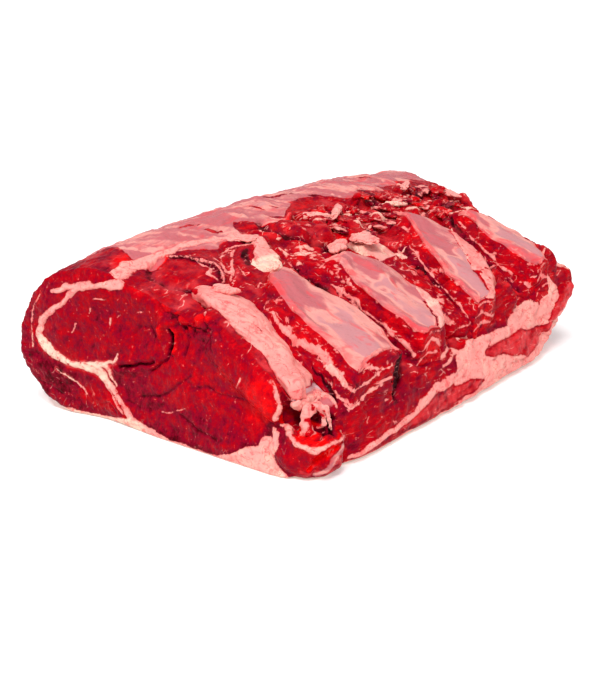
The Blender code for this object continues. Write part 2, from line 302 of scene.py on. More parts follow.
# The right side, as (y, z): the fat stripe, the lean under it, and the lobes at the far corner.
SIDE_STRIPE = mm(
    (-160, 3, 1), (-121, 7.9, 2), (-97, 11.2, 2.2), (-80, 13.7, 3.4), (-63, 18.7, 2.8), (-50, 20.8, 3),
    (-33, 22.2, 4), (-18, 24, 6),
)
SIDE_FAT_TOP = mm(
    (-36, 23), (-33, 31), (-23, 37), (-15, 40), (-4, 37.5), (10, 38), (35, 37.2), (40, 44), (60, 50),
    (73, 41), (82, 46.5), (88, 60), (96, 40), (200, 20),
)
SIDE_LOBE = mm(
    (3, 26.4, 2.2), (23, 25.6, 4.8), (40, 22.8, 8), (53, 19.6, 9.4), (64, 19.6, 6.6), (74, 21.8, 4),
    (84, 24, 2.2),
)
SIDE_VEIL = ((-0.058, 0.042), (0.012, 0.0055), 0.75)
SIDE_LENS = mm((-96, 7.4, 1), (-70, 9.5, 4.4), (-45, 11, 5.8), (-20, 11.2, 4.4), (-3, 10, 1))
SIDE_CORNER = mm((83, 21.5, 2.6), (98, 34.5, 6), (107, 42, 8))
SIDE_FOLDS = (
    mm((-50.4, 36.4, 1), (-34, 38.5, 1.4), (-17.9, 39, 1.2)),
    mm((-46.4, 31.5, 1), (-37, 33.5, 1.3), (-27.2, 35, 1)),
)
SIDE_FOOT_TOP = mm((-200, 1.5), (-60, 3), (-20, 5), (-8, 6), (30, 18), (200, 20))


# The near right corner, as seen from it: how far to the right, z and half width.
CORNER = (0.095, -0.165)
CORNER_ACROSS = (0.798, 0.603)
FLAP_CENTRE = np.array((0.0905, -0.1645, 0.014))
FLAP_RADII = np.array((0.0265, 0.0235, 0.0225))
FLAP_LIP = mm(
    (-17.5, 29, 0.8), (-14.6, 27.8, 1.3), (-11.9, 25.8, 0.9), (-8, 23, 1.4), (-2.4, 21.6, 1.8),
    (2.7, 20.4, 1.9), (7.5, 21.4, 1.1), (11.8, 21.9, 0.8), (15.9, 21.3, 0.5),
)
FLAP_SEAM = mm(
    (-20.3, 24.9, 1.2), (-20.6, 22.2, 1.7), (-20.8, 19.6, 1.6), (-23.2, 11, 2), (-22.2, 7.1, 2.4),
    (-19, 3.9, 1.9), (-14.6, 1, 1.2),
)
FLAP_CUT = mm(
    (-1.5, 7.8, 1.2), (1, 11.6, 2.2), (4.5, 14.6, 3.2), (9, 16.8, 3.2), (13.2, 18.7, 2.2), (16.4, 19.7, 1.2),
)
FLAP_SKIN = mm(
    (0.6, 0.8, 1.4), (5.2, 4.2, 2.2), (9.8, 8.8, 2.2), (13.4, 12.2, 2), (16.6, 15, 1.6), (18.2, 17.6, 1),
)
FLAP_FOLD = thin((3.6, 10), (1.5, 6), (0, 1))
# What lies behind the flap there, and the layers under the first bar.
SLOT_LINE = mm((-16.8, 46, 0.8), (-14.5, 42.5, 2.2), (-12.5, 37, 3.4), (-11, 31, 4), (-9, 28, 3))
SHELF_LINE = mm(
    (-9, 37, 1.4), (-5, 38.5, 2.4), (-1, 39.6, 2.2), (4, 40, 1.4), (8.5, 39.2, 1), (12, 37, 0.9),
    (14.5, 33.7, 0.7),
)
VEIL_LINE = mm((-10.5, 42, 0.8), (-6, 43.1, 1.8), (-1, 43.2, 2.2), (4, 43, 2.8), (8.5, 42.5, 2.4))
PURPLE_LINE = mm((5, 38, 1), (10, 37.2, 2.4), (13.6, 35.1, 1))
LAYER_LINES = (
    mm((-27, 73, 0.6), (-17.8, 66.5, 1.3), (-7.6, 61.4, 1.9), (2.3, 57, 2.6), (10.5, 53.4, 3),
       (17.6, 49, 2.8), (22.2, 43.5, 1.6), (24.3, 40.2, 0.8)),
    mm((24.3, 40.2, 1), (31, 43.2, 1.4), (37.7, 46.6, 1.2), (43.7, 48.9, 0.9), (49, 49.1, 0.4)),
    mm((6, 47.5, 0.4), (10.4, 44.1, 0.7), (16.8, 37.8, 0.9), (23.8, 31.5, 1.2), (29.4, 34.1, 1),
       (35.3, 37.5, 1.1), (42.1, 40, 0.8), (48.2, 42.3, 0.3)),
    mm((19, 59, 0.4), (23.5, 55.6, 1.2), (29.3, 53.2, 1.7), (35.1, 51.5, 1.3), (40.3, 49.2, 0.4)),
)
# Gaps between the layers, which are sunk and darkened with painted shade.
GAP_LINES = (
    mm((52.6, 50, 1), (52.6, 45, 3), (52, 36, 2.8), (50, 27, 1.2)),
    mm((1.4, 49.2, 0.3), (6.6, 47, 0.6), (9.9, 42.4, 1), (12.8, 39, 0.8), (16, 35.8, 0.2)),
)

# Where the cut face and the other sides lie.
FACE_Y = -0.1715
FACE_BULGE = 0.022
FACE_BULGE_WIDTH = 0.113
FACE_FOOT = 0.014
FACE_FOOT_X = (-0.063, 0.117)
FACE_HEIGHT = 0.085
FRONT_LIMIT, FRONT_BLEND = -0.14, 0.012
FAR_LIMIT, FAR_BLEND = 0.06, 0.02
SIDE_START = (0.088, 0.1)
LEFT_START = (-0.078, -0.1)
UNDER_START = (0.012, 0.004)
# How squarely a side has to face its own way before its look begins, and where that look is whole. The right
# side's look fades as the surface turns upwards, and the flap's with the distance from it in its own radii.
FRONT_FACING, FAR_FACING, UNDER_FACING = (0.25, 0.55), (0.45, 0.7), (0.6, 0.9)
SIDE_UPWARD = (0.75, 0.45)
FLAP_EDGE = (1.06, 0.97)

# Ovals on the cut face, as (x, z): the middle, the radii and the turn.
EYE_MUSCLE = ((-0.052, 0.062), (0.046, 0.029))
RIB_MUSCLE = ((0.04, 0.038), (0.044, 0.034))
FOLD_HOLLOW = ((0.012, 0.066), (0.016, 0.01), 0.3)
CREAM_SEAM = ((-0.075, 0.036), (0.03, 0.012))

# Patches of the cut face that are brighter or darker: how much, the middle, the radii, the turn and the edge.
FACE_PATCHES = (
    (0.58, (0.068, 0.04), (0.01, 0.017), -0.3, (-0.006, 0.003)),
    (0.55, (-0.055, 0.013), (0.018, 0.006), -0.2, (-0.004, 0.004)),
    (-0.36, (-0.026, 0.026), (0.02, 0.011), -0.25, (-0.006, 0.004)),
    (-0.28, (0.02, 0.012), (0.036, 0.011), 0.05, (-0.006, 0.004)),
    (-0.25, (-0.086, 0.024), (0.012, 0.01), -0.5, (-0.004, 0.004)),
    # This darker patch is painted shade beside the second fold.
    (-0.3, (0.024, 0.064), (0.012, 0.012), 0.0, (-0.006, 0.006)),
)

# Which way the fibres of the strip and of the torn meat run.
STRIP_GRAIN = np.array(((0.97, -0.24, 0.0), (0.24, 0.97, 0.0), (0.0, 0.0, 1.0)))
TORN_GRAIN = np.array(((0.62, -0.78, 0.0), (0.78, 0.62, 0.0), (0.0, 0.0, 1.0)))

ABSENT = -0.01  # how far outside a tissue a point is put where there is none


def grainy(points, fine=0.0002):
    """The small lumps of a wet cut surface."""
    wide = 0.0009 * noise(points, 0.013, 61) + 0.0005 * noise(points, 0.006, 62)
    return wide + fine * 1.8 * noise(points, 0.003, 63) + fine * noise(points, 0.0016, 64)


def strands(points, size, width, seed):
    """How far a point lies inside thin strands that wander and branch; below 0 outside."""
    thick = width * (1 + 0.8 * noise(points, 0.007, seed + 1))
    return thick - 0.9 * np.mean(size) * np.abs(noise(points, size, seed))


def creased(points, size, depth, seed):
    """Narrow creases that wander over the surface."""
    return -depth * ridged(points, size, seed) ** 2 * ramp(noise(points, 0.02, seed + 5), -0.2, 0.4)


def face_look(points):
    """A cut face: the eye muscle in its pale seam, the cap muscle round it and the rib meat at its right."""
    moved = warped(points, 0.0011, 0.007, 11)
    x, z = moved[:, 0], moved[:, 2]
    seam = band(x, z, EYE_SEAM) + 0.001 * noise(points, 0.01, 13) - 0.0003
    seam -= 0.0016 * ramp(np.abs(noise(points, 0.009, 14)), 0.05, 0.0) * ramp(z, 0.06, 0.05)
    foot = under(x, z, FOOT_FAT_TOP)
    fat = most(seam, bands(x, z, SEAM_BRANCHES), foot, band(x, z, STRIP_EDGE), bands(x, z, EYE_FLECKS))
    hole, hook = band(x, z, FOLD_HOLE), band(x, z, FOLD_HOOK)
    crease, tail, second = (band(x, z, line) for line in (FOLD_CREASE, FOLD_TAIL, SECOND_FOLD))

    eye = ramp(blob(x, z, *EYE_MUSCLE), -0.004, 0.004)
    rib_meat = ramp(x + 0.65 * (z - 0.04), -0.054, -0.048) * ramp(foot, 0.0, -0.004) * (1 - eye)
    cap = ramp(seam, -0.001, -0.006) * (1 - eye) * (1 - rib_meat)
    tone = -0.12 * eye - 0.25 * cap * ramp(z, 0.06, 0.03) - 0.15 * cap
    tone += 0.75 * ramp(z, 0.066, 0.082) * rib_meat * ramp(x, -0.046, -0.038)
    for change, middle, radii, turn, edge in FACE_PATCHES:
        tone += change * ramp(blob(x, z, middle, radii, turn), *edge)
    tone += 0.55 * ramp(hook, -0.0012, 0.001)
    # Painted shade: the fold's open head and its creases are darkened, as they are in shade.
    tone -= 0.9 * ramp(hole, -0.0014, -0.0002) + 0.45 * ramp(crease, -0.0016, -0.0002)
    tone -= 0.3 * ramp(most(tail, second), -0.0016, -0.0002)

    rise = grainy(points) + 0.0009 * ramp(fat, -0.0006, 0.0012) - 0.0005 * bell(fat, 0.0008)
    rise += 0.0004 * noise(points, 0.0025, 71) * ramp(fat, 0.0, 0.002)
    rise += 0.0022 * ramp(hook, -0.0016, 0.0012) - 0.0048 * bell(hole - 0.0004, 0.001)
    rise += 0.0016 * bell(crease + 0.0034, 0.0018) - 0.003 * bell(crease, 0.0007)
    rise -= 0.0024 * bell(tail, 0.0007) + 0.002 * bell(second, 0.0009)
    rise += 0.002 * eye + 0.0024 * ramp(blob(x, z, *RIB_MUSCLE), -0.012, 0.02)
    rise -= 0.003 * ramp(blob(x, z, *FOLD_HOLLOW), -0.006, 0.006)
    rise += 0.0022 * noise(points, 0.03, 73)
    rise += creased(points, 0.011, 0.0009, 81) * rib_meat + creased(points, 0.007, 0.0008, 91) * cap
    # The cracks are sunk, and darkened with painted shade.
    for index, line in enumerate(CRACKS):
        crack = band(x, z, line)
        tone -= (0.34 - 0.02 * index) * ramp(crack, -0.0016, -0.0001)
        rise -= (0.0013 - 0.0001 * index) * bell(crack, 0.0008)

    ragged = ramp(z, 0.058, 0.072) * rib_meat * ramp(x, -0.046, -0.034) * ramp(x, 0.042, 0.028)
    torn = ridged(points, (0.01, 0.03, 0.009), 62) ** 3
    rise += ragged * (0.0018 * noise(points, (0.008, 0.03, 0.007), 61) - 0.0022 * torn)
    # Painted shade: the torn clefts at the top of the rib meat are darkened.
    tone += ragged * (0.35 * noise(points, 0.006, 63) - 0.9 * torn)
    cream = ramp(blob(x, z, *CREAM_SEAM), -0.01, 0.004)
    cream = most(cream, ramp(foot, -0.001, 0.002) * ramp(x, -0.01, -0.03))
    cream = 0.25 + 0.75 * cream * ramp(fat, -0.002, -0.0008)
    return Look(fat, np.full(len(x), ABSENT), tone, cream, rise, 0.35 * cap)


def silverskin(points, fibres, x, y):
    """How far a point lies inside the ridge's silverskin, inside its edge, and inside the gaps in it."""
    edge = np.interp(y, *zip(*SILVERSKIN_EDGE)) - x
    skin = np.minimum(edge, 0.009) + 0.009 * noise(fibres, (0.04, 0.014, 0.02), 23)
    skin -= 0.01 * ramp(noise(fibres, (0.04, 0.006, 0.02), 19), 0.4, 0.75)
    gap = bands(x, y, SILVERSKIN_GAPS) + 0.001 * noise(points, 0.006, 15)
    skin -= 0.02 * ramp(gap, -0.0008, 0.001)
    skin -= 0.03 * ramp(points[:, 1], -0.148, -0.166)
    return skin, edge, gap


def silverskin_glaze(points, fibres, edge):
    """How pale the silverskin is: dry streaks over wet ones."""
    glaze = 0.55 + 0.9 * noise(fibres, (0.05, 0.01, 0.02), 16) - 0.3 * ramp(edge, 0.006, 0.0)
    glaze += 0.6 * noise(fibres, (0.018, 0.0035, 0.01), 12) - 0.22
    dry = ramp(noise(fibres, (0.03, 0.007, 0.02), 3) + 0.3 * noise(points, 0.004, 2), 0.15, 0.55)
    return glaze * (1 - dry) + 1.5 * dry


def top_look(points):
    """The top: silverskin over the ridge, a line of fat beside it, and torn meat towards the bars."""
    moved = warped(points, 0.0028, 0.016, 21)
    x, y = moved[:, 0], moved[:, 1]
    fibres = points @ TORN_GRAIN
    skin, edge, gap = silverskin(points, fibres, x, y)
    torn = ramp(x, -0.038, -0.028) * ramp(points[:, 1], -0.075, -0.055)
    streaks = noise(fibres, (0.02, 0.0048, 0.01), 24)
    line = band(x, y, RIDGE_FAT) + 0.0022 * noise(points, 0.009, 22) - 0.0012
    fat = most(line, 0.006 * (streaks - 0.42) * torn - 0.004 * (1 - torn))
    muscle = blob(x, y, *OVAL_MUSCLE)
    meshed = ramp(blob(x, y, *CELL_AREA), -0.004, 0.004)
    walls = bands(x, y, CELL_LINES)
    ladder = walls + 0.0007 * noise(points, 0.005, 20)
    behind = ramp(blob(x, y, *FLECK_AREA), -0.004, 0.004)
    flecked = 0.003 * (noise(fibres, (0.005, 0.0022, 0.004), 18) - 0.4) - 0.01 * (1 - behind)
    patch = band(x, y, TAG_PATCH) + 0.0012 * noise(points, 0.006, 9)
    ring = -np.abs(muscle + 0.002) + 0.0005
    fat = most(fat, ladder, flecked, patch, ring - 0.012 * ramp(y, -0.14, -0.15))
    tone = 0.25 * torn + 0.35 * noise(points, 0.016, 26) * torn
    # Painted shade: the crease round the oval muscle is darkened.
    tone += 0.1 * ramp(muscle, -0.002, 0.004) - 0.75 * bell(muscle + 0.001, 0.0014)
    tone += 0.22 * ramp(muscle, 0.0, 0.003) * noise(points, (0.02, 0.003, 0.003), 17)
    tone -= 0.25 * ramp(edge, -0.002, 0.004)
    tone += 0.9 * ramp(blob(x, y, *RIDGE_NEAR_END), -0.003, 0.003)
    tone += 0.5 * ramp(gap, -0.0005, 0.002)

    tongue = blob(x, y, *TONGUE)
    whole = ramp(tongue, -0.0005, 0.002)
    tongue_x, tongue_y = TONGUE[0]
    near_side = ramp((x - tongue_x) * 0.6 - (y - tongue_y) * 0.8, -0.004, 0.004)
    # Painted shadow under the tongue's near edge, which is also sunk.
    shaded_under_edge = bell(tongue + 0.0014, 0.0019) * near_side
    threads = 0.0006 * noise(points, 0.004, 5) - 0.0016 * np.abs(noise(fibres, (0.004, 0.018, 0.01), 6))
    fat = np.where(whole > 0.5, np.minimum(fat, threads + 0.0004), fat) - 0.01 * shaded_under_edge
    tone += whole * (0.1 + 0.5 * noise(fibres, (0.003, 0.02, 0.01), 4)) - 1.3 * shaded_under_edge
    torn = torn * (1 - 0.8 * whole)

    clefts = ridged(fibres, (0.026, 0.01, 0.014), 27)
    rise = grainy(points, 0.00025) + torn * (0.0022 * layered(points, 0.012, 28) - 0.0034 * clefts**3)
    rise += 0.001 * ramp(fat, -0.0008, 0.0012) + 0.0046 * ramp(tongue, -0.0005, 0.007) - 0.0036 * shaded_under_edge
    rise += 0.0016 * bell(ring, 0.002) * ramp(y, -0.15, -0.14)
    rise += 0.0016 * ramp(muscle, -0.001, 0.006) - 0.0012 * bell(muscle + 0.001, 0.0012)
    rise += ramp(skin, 0.0, 0.003) * (0.0004 + 0.0003 * ridged(points, (0.012, 0.05, 0.012), 29))
    rise += meshed * (0.0016 * ramp(-walls, 0.0, 0.0035) - 0.0006) + 0.0018 * ramp(patch, -0.0006, 0.0012)
    # Painted shade: the clefts of the torn meat are darkened.
    tone -= 0.6 * torn * clefts**3
    ragged = 0.0005 * noise(points, 0.005, 1)
    # The gaps beside the bars and the hollow by the tag are darkened with painted shade; the gaps are also
    # sunk.
    gaps = ramp(bands(x, y, BAR_GAPS) + ragged, -0.0008, 0.0006)
    sunk = most(gaps, ramp(band(x, y, TAG_HOLLOW) + ragged, -0.0008, 0.0006))
    fat = fat - 0.008 * sunk
    tone -= 1.2 * sunk
    rise -= 0.0022 * gaps

    flushed = 0.05 + 0.9 * noise(fibres, (0.032, 0.009, 0.02), 7) + 0.5 * ramp(edge, 0.006, 0.0)
    tone = np.where(skin > -0.001, flushed, tone)
    bare = 0.6 + 0.5 * noise(points, 0.012, 8)
    lean_film = np.where(skin > -0.003, silverskin_glaze(points, fibres, edge), bare)
    cream = np.where(fat > -0.0005, 0.15 + 0.3 * torn, lean_film)
    cream = np.where(patch > -0.0005, ramp(x, -0.009, -0.001), cream)
    veins = ramp(x, -0.04, -0.034) * (1 - 0.8 * ramp(muscle, -0.002, 0.002))
    return Look(fat, skin, tone, cream, rise, veins)


def side_look(points):
    """The right side: dark meat over a slanted stripe of fat, with red lobes towards the far end."""
    moved = warped(points, 0.002, 0.012, 31)
    y, z = moved[:, 1], moved[:, 2]
    thick = np.minimum(under(y, z, SIDE_FAT_TOP), ramp(y, -0.042, -0.03) * 0.02 - 0.008)
    fat = most(band(y, z, SIDE_STRIPE), under(y, z, SIDE_FOOT_TOP), thick, bands(y, z, SIDE_FOLDS))
    fat = most(fat, 0.004 * (noise(points, (0.01, 0.014, 0.004), 33) - 0.62))
    lobe, lens = bands(y, z, (SIDE_LOBE, SIDE_CORNER)), band(y, z, SIDE_LENS)
    red = most(lobe, lens)
    fat = np.minimum(fat, -red)
    wavy = ramp(y, -0.03, -0.012)
    wrinkle = ridged(points, (0.02, 0.022, 0.008), 45) ** 4 * wavy * ramp(noise(points, 0.02, 47), -0.5, 0.0)
    cut = ramp(wrinkle, 0.66, 0.95)
    fat = np.where(fat > 0, fat * (1 - cut) - 0.0005 * cut, fat)
    tone = 0.35 * noise(points, (0.012, 0.02, 0.008), 39)
    tone -= 0.08 * ramp(y, -0.02, -0.06) * ramp(z, 0.014, 0.022)
    tone += 0.42 * ramp(lobe, -0.002, 0.003) + 0.25 * ramp(lens, -0.001, 0.002)

    rise = grainy(points, 0.00022) + 0.001 * ramp(fat, -0.0008, 0.0015)
    rise += creased(points, (0.01, 0.022, 0.007), 0.0012, 35)
    rise += wavy * (0.0014 * noise(points, (0.01, 0.013, 0.008), 46) - 0.0014 * wrinkle)
    rise += 0.0016 * ramp(lobe, -0.002, 0.002) + 0.0012 * noise(points, 0.012, 37)
    veil = blob(y, z, *SIDE_VEIL) + 0.004 * noise(points, (0.02, 0.006, 0.006), 36)
    film = 0.3 + 0.9 * ramp(red, -0.001, 0.002)
    cream = np.where(fat > -0.001, 0.15 + 0.4 * noise(points, 0.015, 38), film)
    return Look(fat, np.where(veil > 0, veil, ABSENT), tone, cream, rise, np.full(len(y), 0.5))


def left_look(points):
    """The left side: silverskin that gives way to dark meat, and fat that wraps up from below."""
    moved = warped(points, 0.004, 0.025, 41)
    y, z = moved[:, 1], moved[:, 2]
    fat = 0.018 + 0.01 * noise(points, (0.03, 0.05, 0.03), 43) - z
    fat = most(fat, 0.01 * (noise(points, (0.02, 0.06, 0.012), 44) - 0.45))
    skin = z - 0.052 + 0.014 * noise(points, (0.02, 0.045, 0.02), 45)
    skin -= 0.03 * ramp(y, -0.15, -0.166)
    tone = -0.25 + 0.3 * noise(points, 0.02, 46)
    rise = grainy(points) + 0.0008 * ramp(fat, -0.001, 0.002)
    rise += creased(points, (0.012, 0.04, 0.012), 0.001, 47)
    return Look(fat, skin, tone, np.full(len(y), 0.45), rise, np.full(len(y), 0.5))


def under_look(points):
    """The underside: a cap of cream fat with a few thin red patches."""
    fat = 0.003 - 0.012 * (noise(points, 0.04, 51) - 0.55)
    none = np.zeros(len(points))
    return Look(fat, none + ABSENT, none - 0.2, none + 0.8, none, none)


def corner_place(points):
    """How far to the right and how far outwards a point lies, seen from the near right corner."""
    away = points - np.array((*CORNER, 0.0))
    across = away[:, 0] * CORNER_ACROSS[0] + away[:, 1] * CORNER_ACROSS[1]
    out = away[:, 0] * CORNER_ACROSS[1] - away[:, 1] * CORNER_ACROSS[0]
    return across, out


def flap_look(points):
    """The rolled flap: a cut edge with two bands of fat, wet red meat inside, and skin round its foot."""
    moved = warped(points, 0.0009, 0.006, 301)
    across, z = corner_place(moved)[0], moved[:, 2]
    lip = band(across, z, FLAP_LIP) + 0.0006 * noise(points, 0.003, 306)
    seam = band(across, z, FLAP_SEAM)
    beyond = np.interp(z, *zip(*[(stop[1], stop[0]) for stop in reversed(FLAP_SEAM)])) - across
    cut = band(across, z, FLAP_CUT) + 0.0008 * noise(points, 0.004, 307)
    fat = most(lip, seam, np.minimum(beyond, 0.0195 - z))
    above = ramp(z - np.interp(across, *zip(*[stop[:2] for stop in FLAP_LIP])), 0.0008, 0.0016)
    # Behind the flap's top the surface is sunk and darkened; the darkening is painted shade.
    behind = ramp(z - 0.004 * noise(points, 0.008, 308), 0.0262, 0.0278) * ramp(across, -0.01, -0.006)
    inner = ramp(cut, -0.0006, 0.001)
    tone = 0.08 + 0.25 * noise(points, 0.007, 309) + 0.85 * inner + 0.8 * above - 1.35 * behind
    tone -= 0.35 * ramp(across, -0.01, -0.016) * (1 - above) + 0.3 * ramp(z, 0.008, 0.002)
    tone -= 0.95 * above * ramp(across, 0.006, 0.0105) * ramp(z, 0.0225, 0.0245)
    skin = np.maximum(band(across, z, FLAP_SKIN), -0.02)
    rise = grainy(points) + 0.0016 * ramp(lip, -0.001, 0.0008) + 0.0008 * ramp(seam, -0.001, 0.001)
    rise -= 0.0042 * inner * ramp(cut, -0.0006, 0.0026) + 0.0036 * behind + 0.001 * above
    rise -= 0.0012 * bell(band(across, z, FLAP_FOLD), 0.001)
    rise += 0.0014 * noise(points, 0.009, 310)
    cream = np.where(fat < -0.001, 0.25, 0.35 + 0.4 * noise(points, 0.005, 305))
    cream = np.where(skin > fat, 0.5 + 1.5 * noise(points, (0.008, 0.008, 0.003), 311), cream)
    return Look(fat, skin, tone, cream, rise, np.full(len(z), 0.3))


def layered_end(points):
    """The pale layers of the meat under the first bar, and the gaps between them, which its callers sink and
    darken with painted shade.
    """
    moved = warped(points, 0.0012, 0.005, 331)
    across, out = corner_place(moved)
    z = moved[:, 2]
    ragged = 0.0012 * noise(points, 0.0034, 332) + 0.0008 * noise(points, 0.0014, 333) - 0.0002
    held = ramp(np.abs(out + 0.042), 0.044, 0.038)
    layers = bands(across, z, LAYER_LINES) + ragged
    gaps = bands(across, z, GAP_LINES)
    return np.where(held > 0.5, layers, ABSENT), ramp(gaps, -0.0006, 0.0006) * held


def beside_flap(points, look):
    """The Look with what lies behind the flap and under the first bar drawn over it."""
    moved = warped(points, 0.001, 0.006, 321)
    across, out = corner_place(moved)
    z = moved[:, 2]
    held = ramp(np.abs(out + 0.014), 0.023, 0.019) * ramp(points[:, 0], 0.07, 0.076)
    slot = ramp(band(across, z, SLOT_LINE), -0.0008, 0.0008) * held
    lines = (SHELF_LINE, VEIL_LINE, PURPLE_LINE)
    shelf, veil, dark_veil = (np.where(held > 0.5, band(across, z, line), ABSENT) for line in lines)
    layers, gaps = layered_end(points)
    outer = ramp(points[:, 0], 0.06, 0.07)
    layers = np.where(outer > 0.5, layers, ABSENT)
    fat = most(look.fat * (1 - slot) - 0.006 * slot, shelf, layers) - 0.01 * gaps * outer
    skin = most(look.skin, veil, dark_veil)
    # The gaps are darkened with painted shade.
    tone = look.tone * (1 - slot) - 0.12 * slot - 1.7 * gaps * outer
    # The veil takes the silver colour, which is partly painted sheen.
    cream = np.where(veil > -0.001, 2.6 + 0.8 * noise(points, (0.006, 0.006, 0.002), 322), look.cream)
    cream = np.where(dark_veil > -0.001, -0.4, cream)
    cream = np.where(most(shelf, layers) > -0.001, 0.3, cream)
    rise = look.rise - 0.0035 * slot + 0.0012 * ramp(shelf, -0.0008, 0.0008) - 0.005 * gaps * outer
    return Look(fat, skin, tone, cream, rise, look.veins)


def roast_look(points, normals):
    """The Look anywhere on the roast, from where a point lies and which way its surface faces."""
    x, y, z = points.T
    _, out_y, out_z = normals.T
    near = ramp(-out_y, *FRONT_FACING) * ramp(y, FRONT_LIMIT, FRONT_LIMIT - FRONT_BLEND)
    far = ramp(out_y, *FAR_FACING) * ramp(y, FAR_LIMIT, FAR_LIMIT + FAR_BLEND)
    below = ramp(-out_z, *UNDER_FACING) * ramp(z, *UNDER_START)
    left = ramp(x, *LEFT_START)
    right = ramp(x, *SIDE_START) * ramp(out_z, *SIDE_UPWARD)
    rest = np.ones(len(x))
    flap = ramp(np.linalg.norm((points - FLAP_CENTRE) / FLAP_RADII, axis=1), *FLAP_EDGE)
    shares = (below, flap, near, far, left, right, rest)
    looks = (under_look, flap_look, face_look, face_look, left_look, side_look, top_look)
    return beside_flap(points, blended([(share, look(points)) for share, look in zip(shares, looks)]))


# ---------------------------------------------------------------- meshes


def deselect_all():
    """Leaves edit mode and selects nothing."""
    if bpy.context.object and bpy.context.object.mode != "OBJECT":
        bpy.ops.object.mode_set(mode="OBJECT")
    bpy.ops.object.select_all(action="DESELECT")


def activate(piece):
    """Makes a piece the only selected object, and the active one."""
    deselect_all()
    piece.select_set(True)
    bpy.context.view_layer.objects.active = piece


def apply_modifier(piece, kind, **settings):
    """Adds a modifier, sets it and applies it."""
    activate(piece)
    modifier = piece.modifiers.new(kind.title(), kind)
    for name, value in settings.items():
        setattr(modifier, name, value)
    bpy.ops.object.modifier_apply(modifier=modifier.name)


def edit_all(piece, operator, **settings):
    """Runs an edit mode operator on everything in a piece."""
    activate(piece)
    bpy.ops.object.mode_set(mode="EDIT")
    bpy.ops.mesh.select_all(action="SELECT")
    operator(**settings)
    bpy.ops.object.mode_set(mode="OBJECT")


def vectors(items, name):
    """One row of three numbers for each vertex or face."""
    flat = np.empty(3 * len(items), np.float32)
    items.foreach_get(name, flat)
    return flat.reshape(-1, 3)


def coordinates(mesh):
    """Where a mesh's vertices lie."""
    return vectors(mesh.vertices, "co").astype(float)


def vertex_normals(mesh):
    """Which way a mesh's surface faces at its vertices."""
    return vectors(mesh.vertices, "normal").astype(float)


def move_vertices(mesh, points):
    """Puts a mesh's vertices at new places."""
    mesh.vertices.foreach_set("co", points.astype(np.float32).ravel())
    mesh.update()


def store_look(mesh, look):
    """Keeps a Look's colours on the vertices, where the materials read them; distances in millimetres."""
    values = look._asdict()
    del values["rise"]
    for name in ("fat", "skin"):
        values[name] = np.clip(1000 * values[name], -8, 8)
    for name, value in values.items():
        kept = mesh.attributes.get(name) or mesh.attributes.new(name, "FLOAT", "POINT")
        kept.data.foreach_set("value", value.astype(np.float32))


# The wide fold of the solid, as (x, z), how far it reaches to its sides, how deep it is and where it lies.
SOLID_FOLD = thin((-3, 70), (0, 60), (-9, 49), (-23, 42))
FOLD_REACH = (-0.0125, -0.009)
FOLD_DEPTH = 0.012
FOLD_HEIGHTS = (0.03, 0.078)


def face_place(x, z):
    """Where the smooth cut face lies, before its fold."""
    low, high = FACE_FOOT_X
    width = (high - low) / 3
    up = np.clip(z / FACE_HEIGHT, 0, 1)
    foot = FACE_FOOT * (1 - up) ** 2 * ramp(x, low, low + width) * ramp(x, high, high - 0.5 * width)
    return FACE_Y - FACE_BULGE * ramp(-x, 0, FACE_BULGE_WIDTH) - foot


def close_fold(piece):
    """Fills the solid's wide fold up to the face, so that a narrow one can be sculpted in its place."""
    points = coordinates(piece.data)
    x, y, z = points.T
    near_fold = ramp(bands(x, z, (SOLID_FOLD, FOLD_CREASE)), *FOLD_REACH)
    facing = (y < FACE_Y + FOLD_DEPTH) & (z > FOLD_HEIGHTS[0]) & (z < FOLD_HEIGHTS[1])
    share = near_fold * facing
    points[:, 1] = y + (face_place(x, z) - y) * share
    move_vertices(piece.data, points)


def new_piece(name, mesh):
    """An object at the origin for a mesh."""
    mesh.name = name
    piece = bpy.data.objects.new(name, mesh)
    bpy.context.scene.collection.objects.link(piece)
    return piece


def finish_piece(piece, points, look, material, normals=None):
    """Puts the vertices in place, raises and colours them by their Look, and places the piece on the part."""
    mesh = piece.data
    if normals is None:
        move_vertices(mesh, points)
        normals = vertex_normals(mesh)
    move_vertices(mesh, points + normals * look.rise[:, None])
    store_look(mesh, look)
    mesh.shade_smooth()
    mesh.materials.clear()
    mesh.materials.append(material)
    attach(piece, BODY)
    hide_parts(NODE)


class Chunk(NamedTuple):
    """A stretch of the roast between planes, each as (axis, place, side kept), and the size of its cells."""

    planes: tuple
    voxel: float


X_AXIS, Y_AXIS = Vector((1, 0, 0)), Vector((0, 1, 0))
OVERLAP = 0.002
FACE_CUT = -0.146
RIDGE_CUT = -0.037
FAR_CUT = 0.11
CHUNKS = {
    "cut_end": Chunk(((Y_AXIS, FACE_CUT, -1),), 0.00078),
    "ridge_muscle": Chunk(((Y_AXIS, FACE_CUT, 1), (X_AXIS, RIDGE_CUT, -1), (Y_AXIS, FAR_CUT, -1)), 0.00105),
    "rib_bed": Chunk(((Y_AXIS, FACE_CUT, 1), (X_AXIS, RIDGE_CUT, 1), (Y_AXIS, FAR_CUT, -1)), 0.00105),
    "far_end": Chunk(((Y_AXIS, FAR_CUT, 1),), 0.0012),
}
SMOOTHING_ROUNDS = 10
HIDDEN_RATIO = 0.05  # how many of the hidden faces are kept
UNDERSIDE_HEIGHT = 0.0016
WALL_DEPTH = 0.0008
FACING = 0.9
MERGE_DISTANCE = 0.00001
BED_SINK = 0.006
BED_EDGE = (-0.001, 0.003)
BED_HEIGHTS = (0.04, 0.05)
UNDERSIDE_EDGE = (0.0005, 0.006)


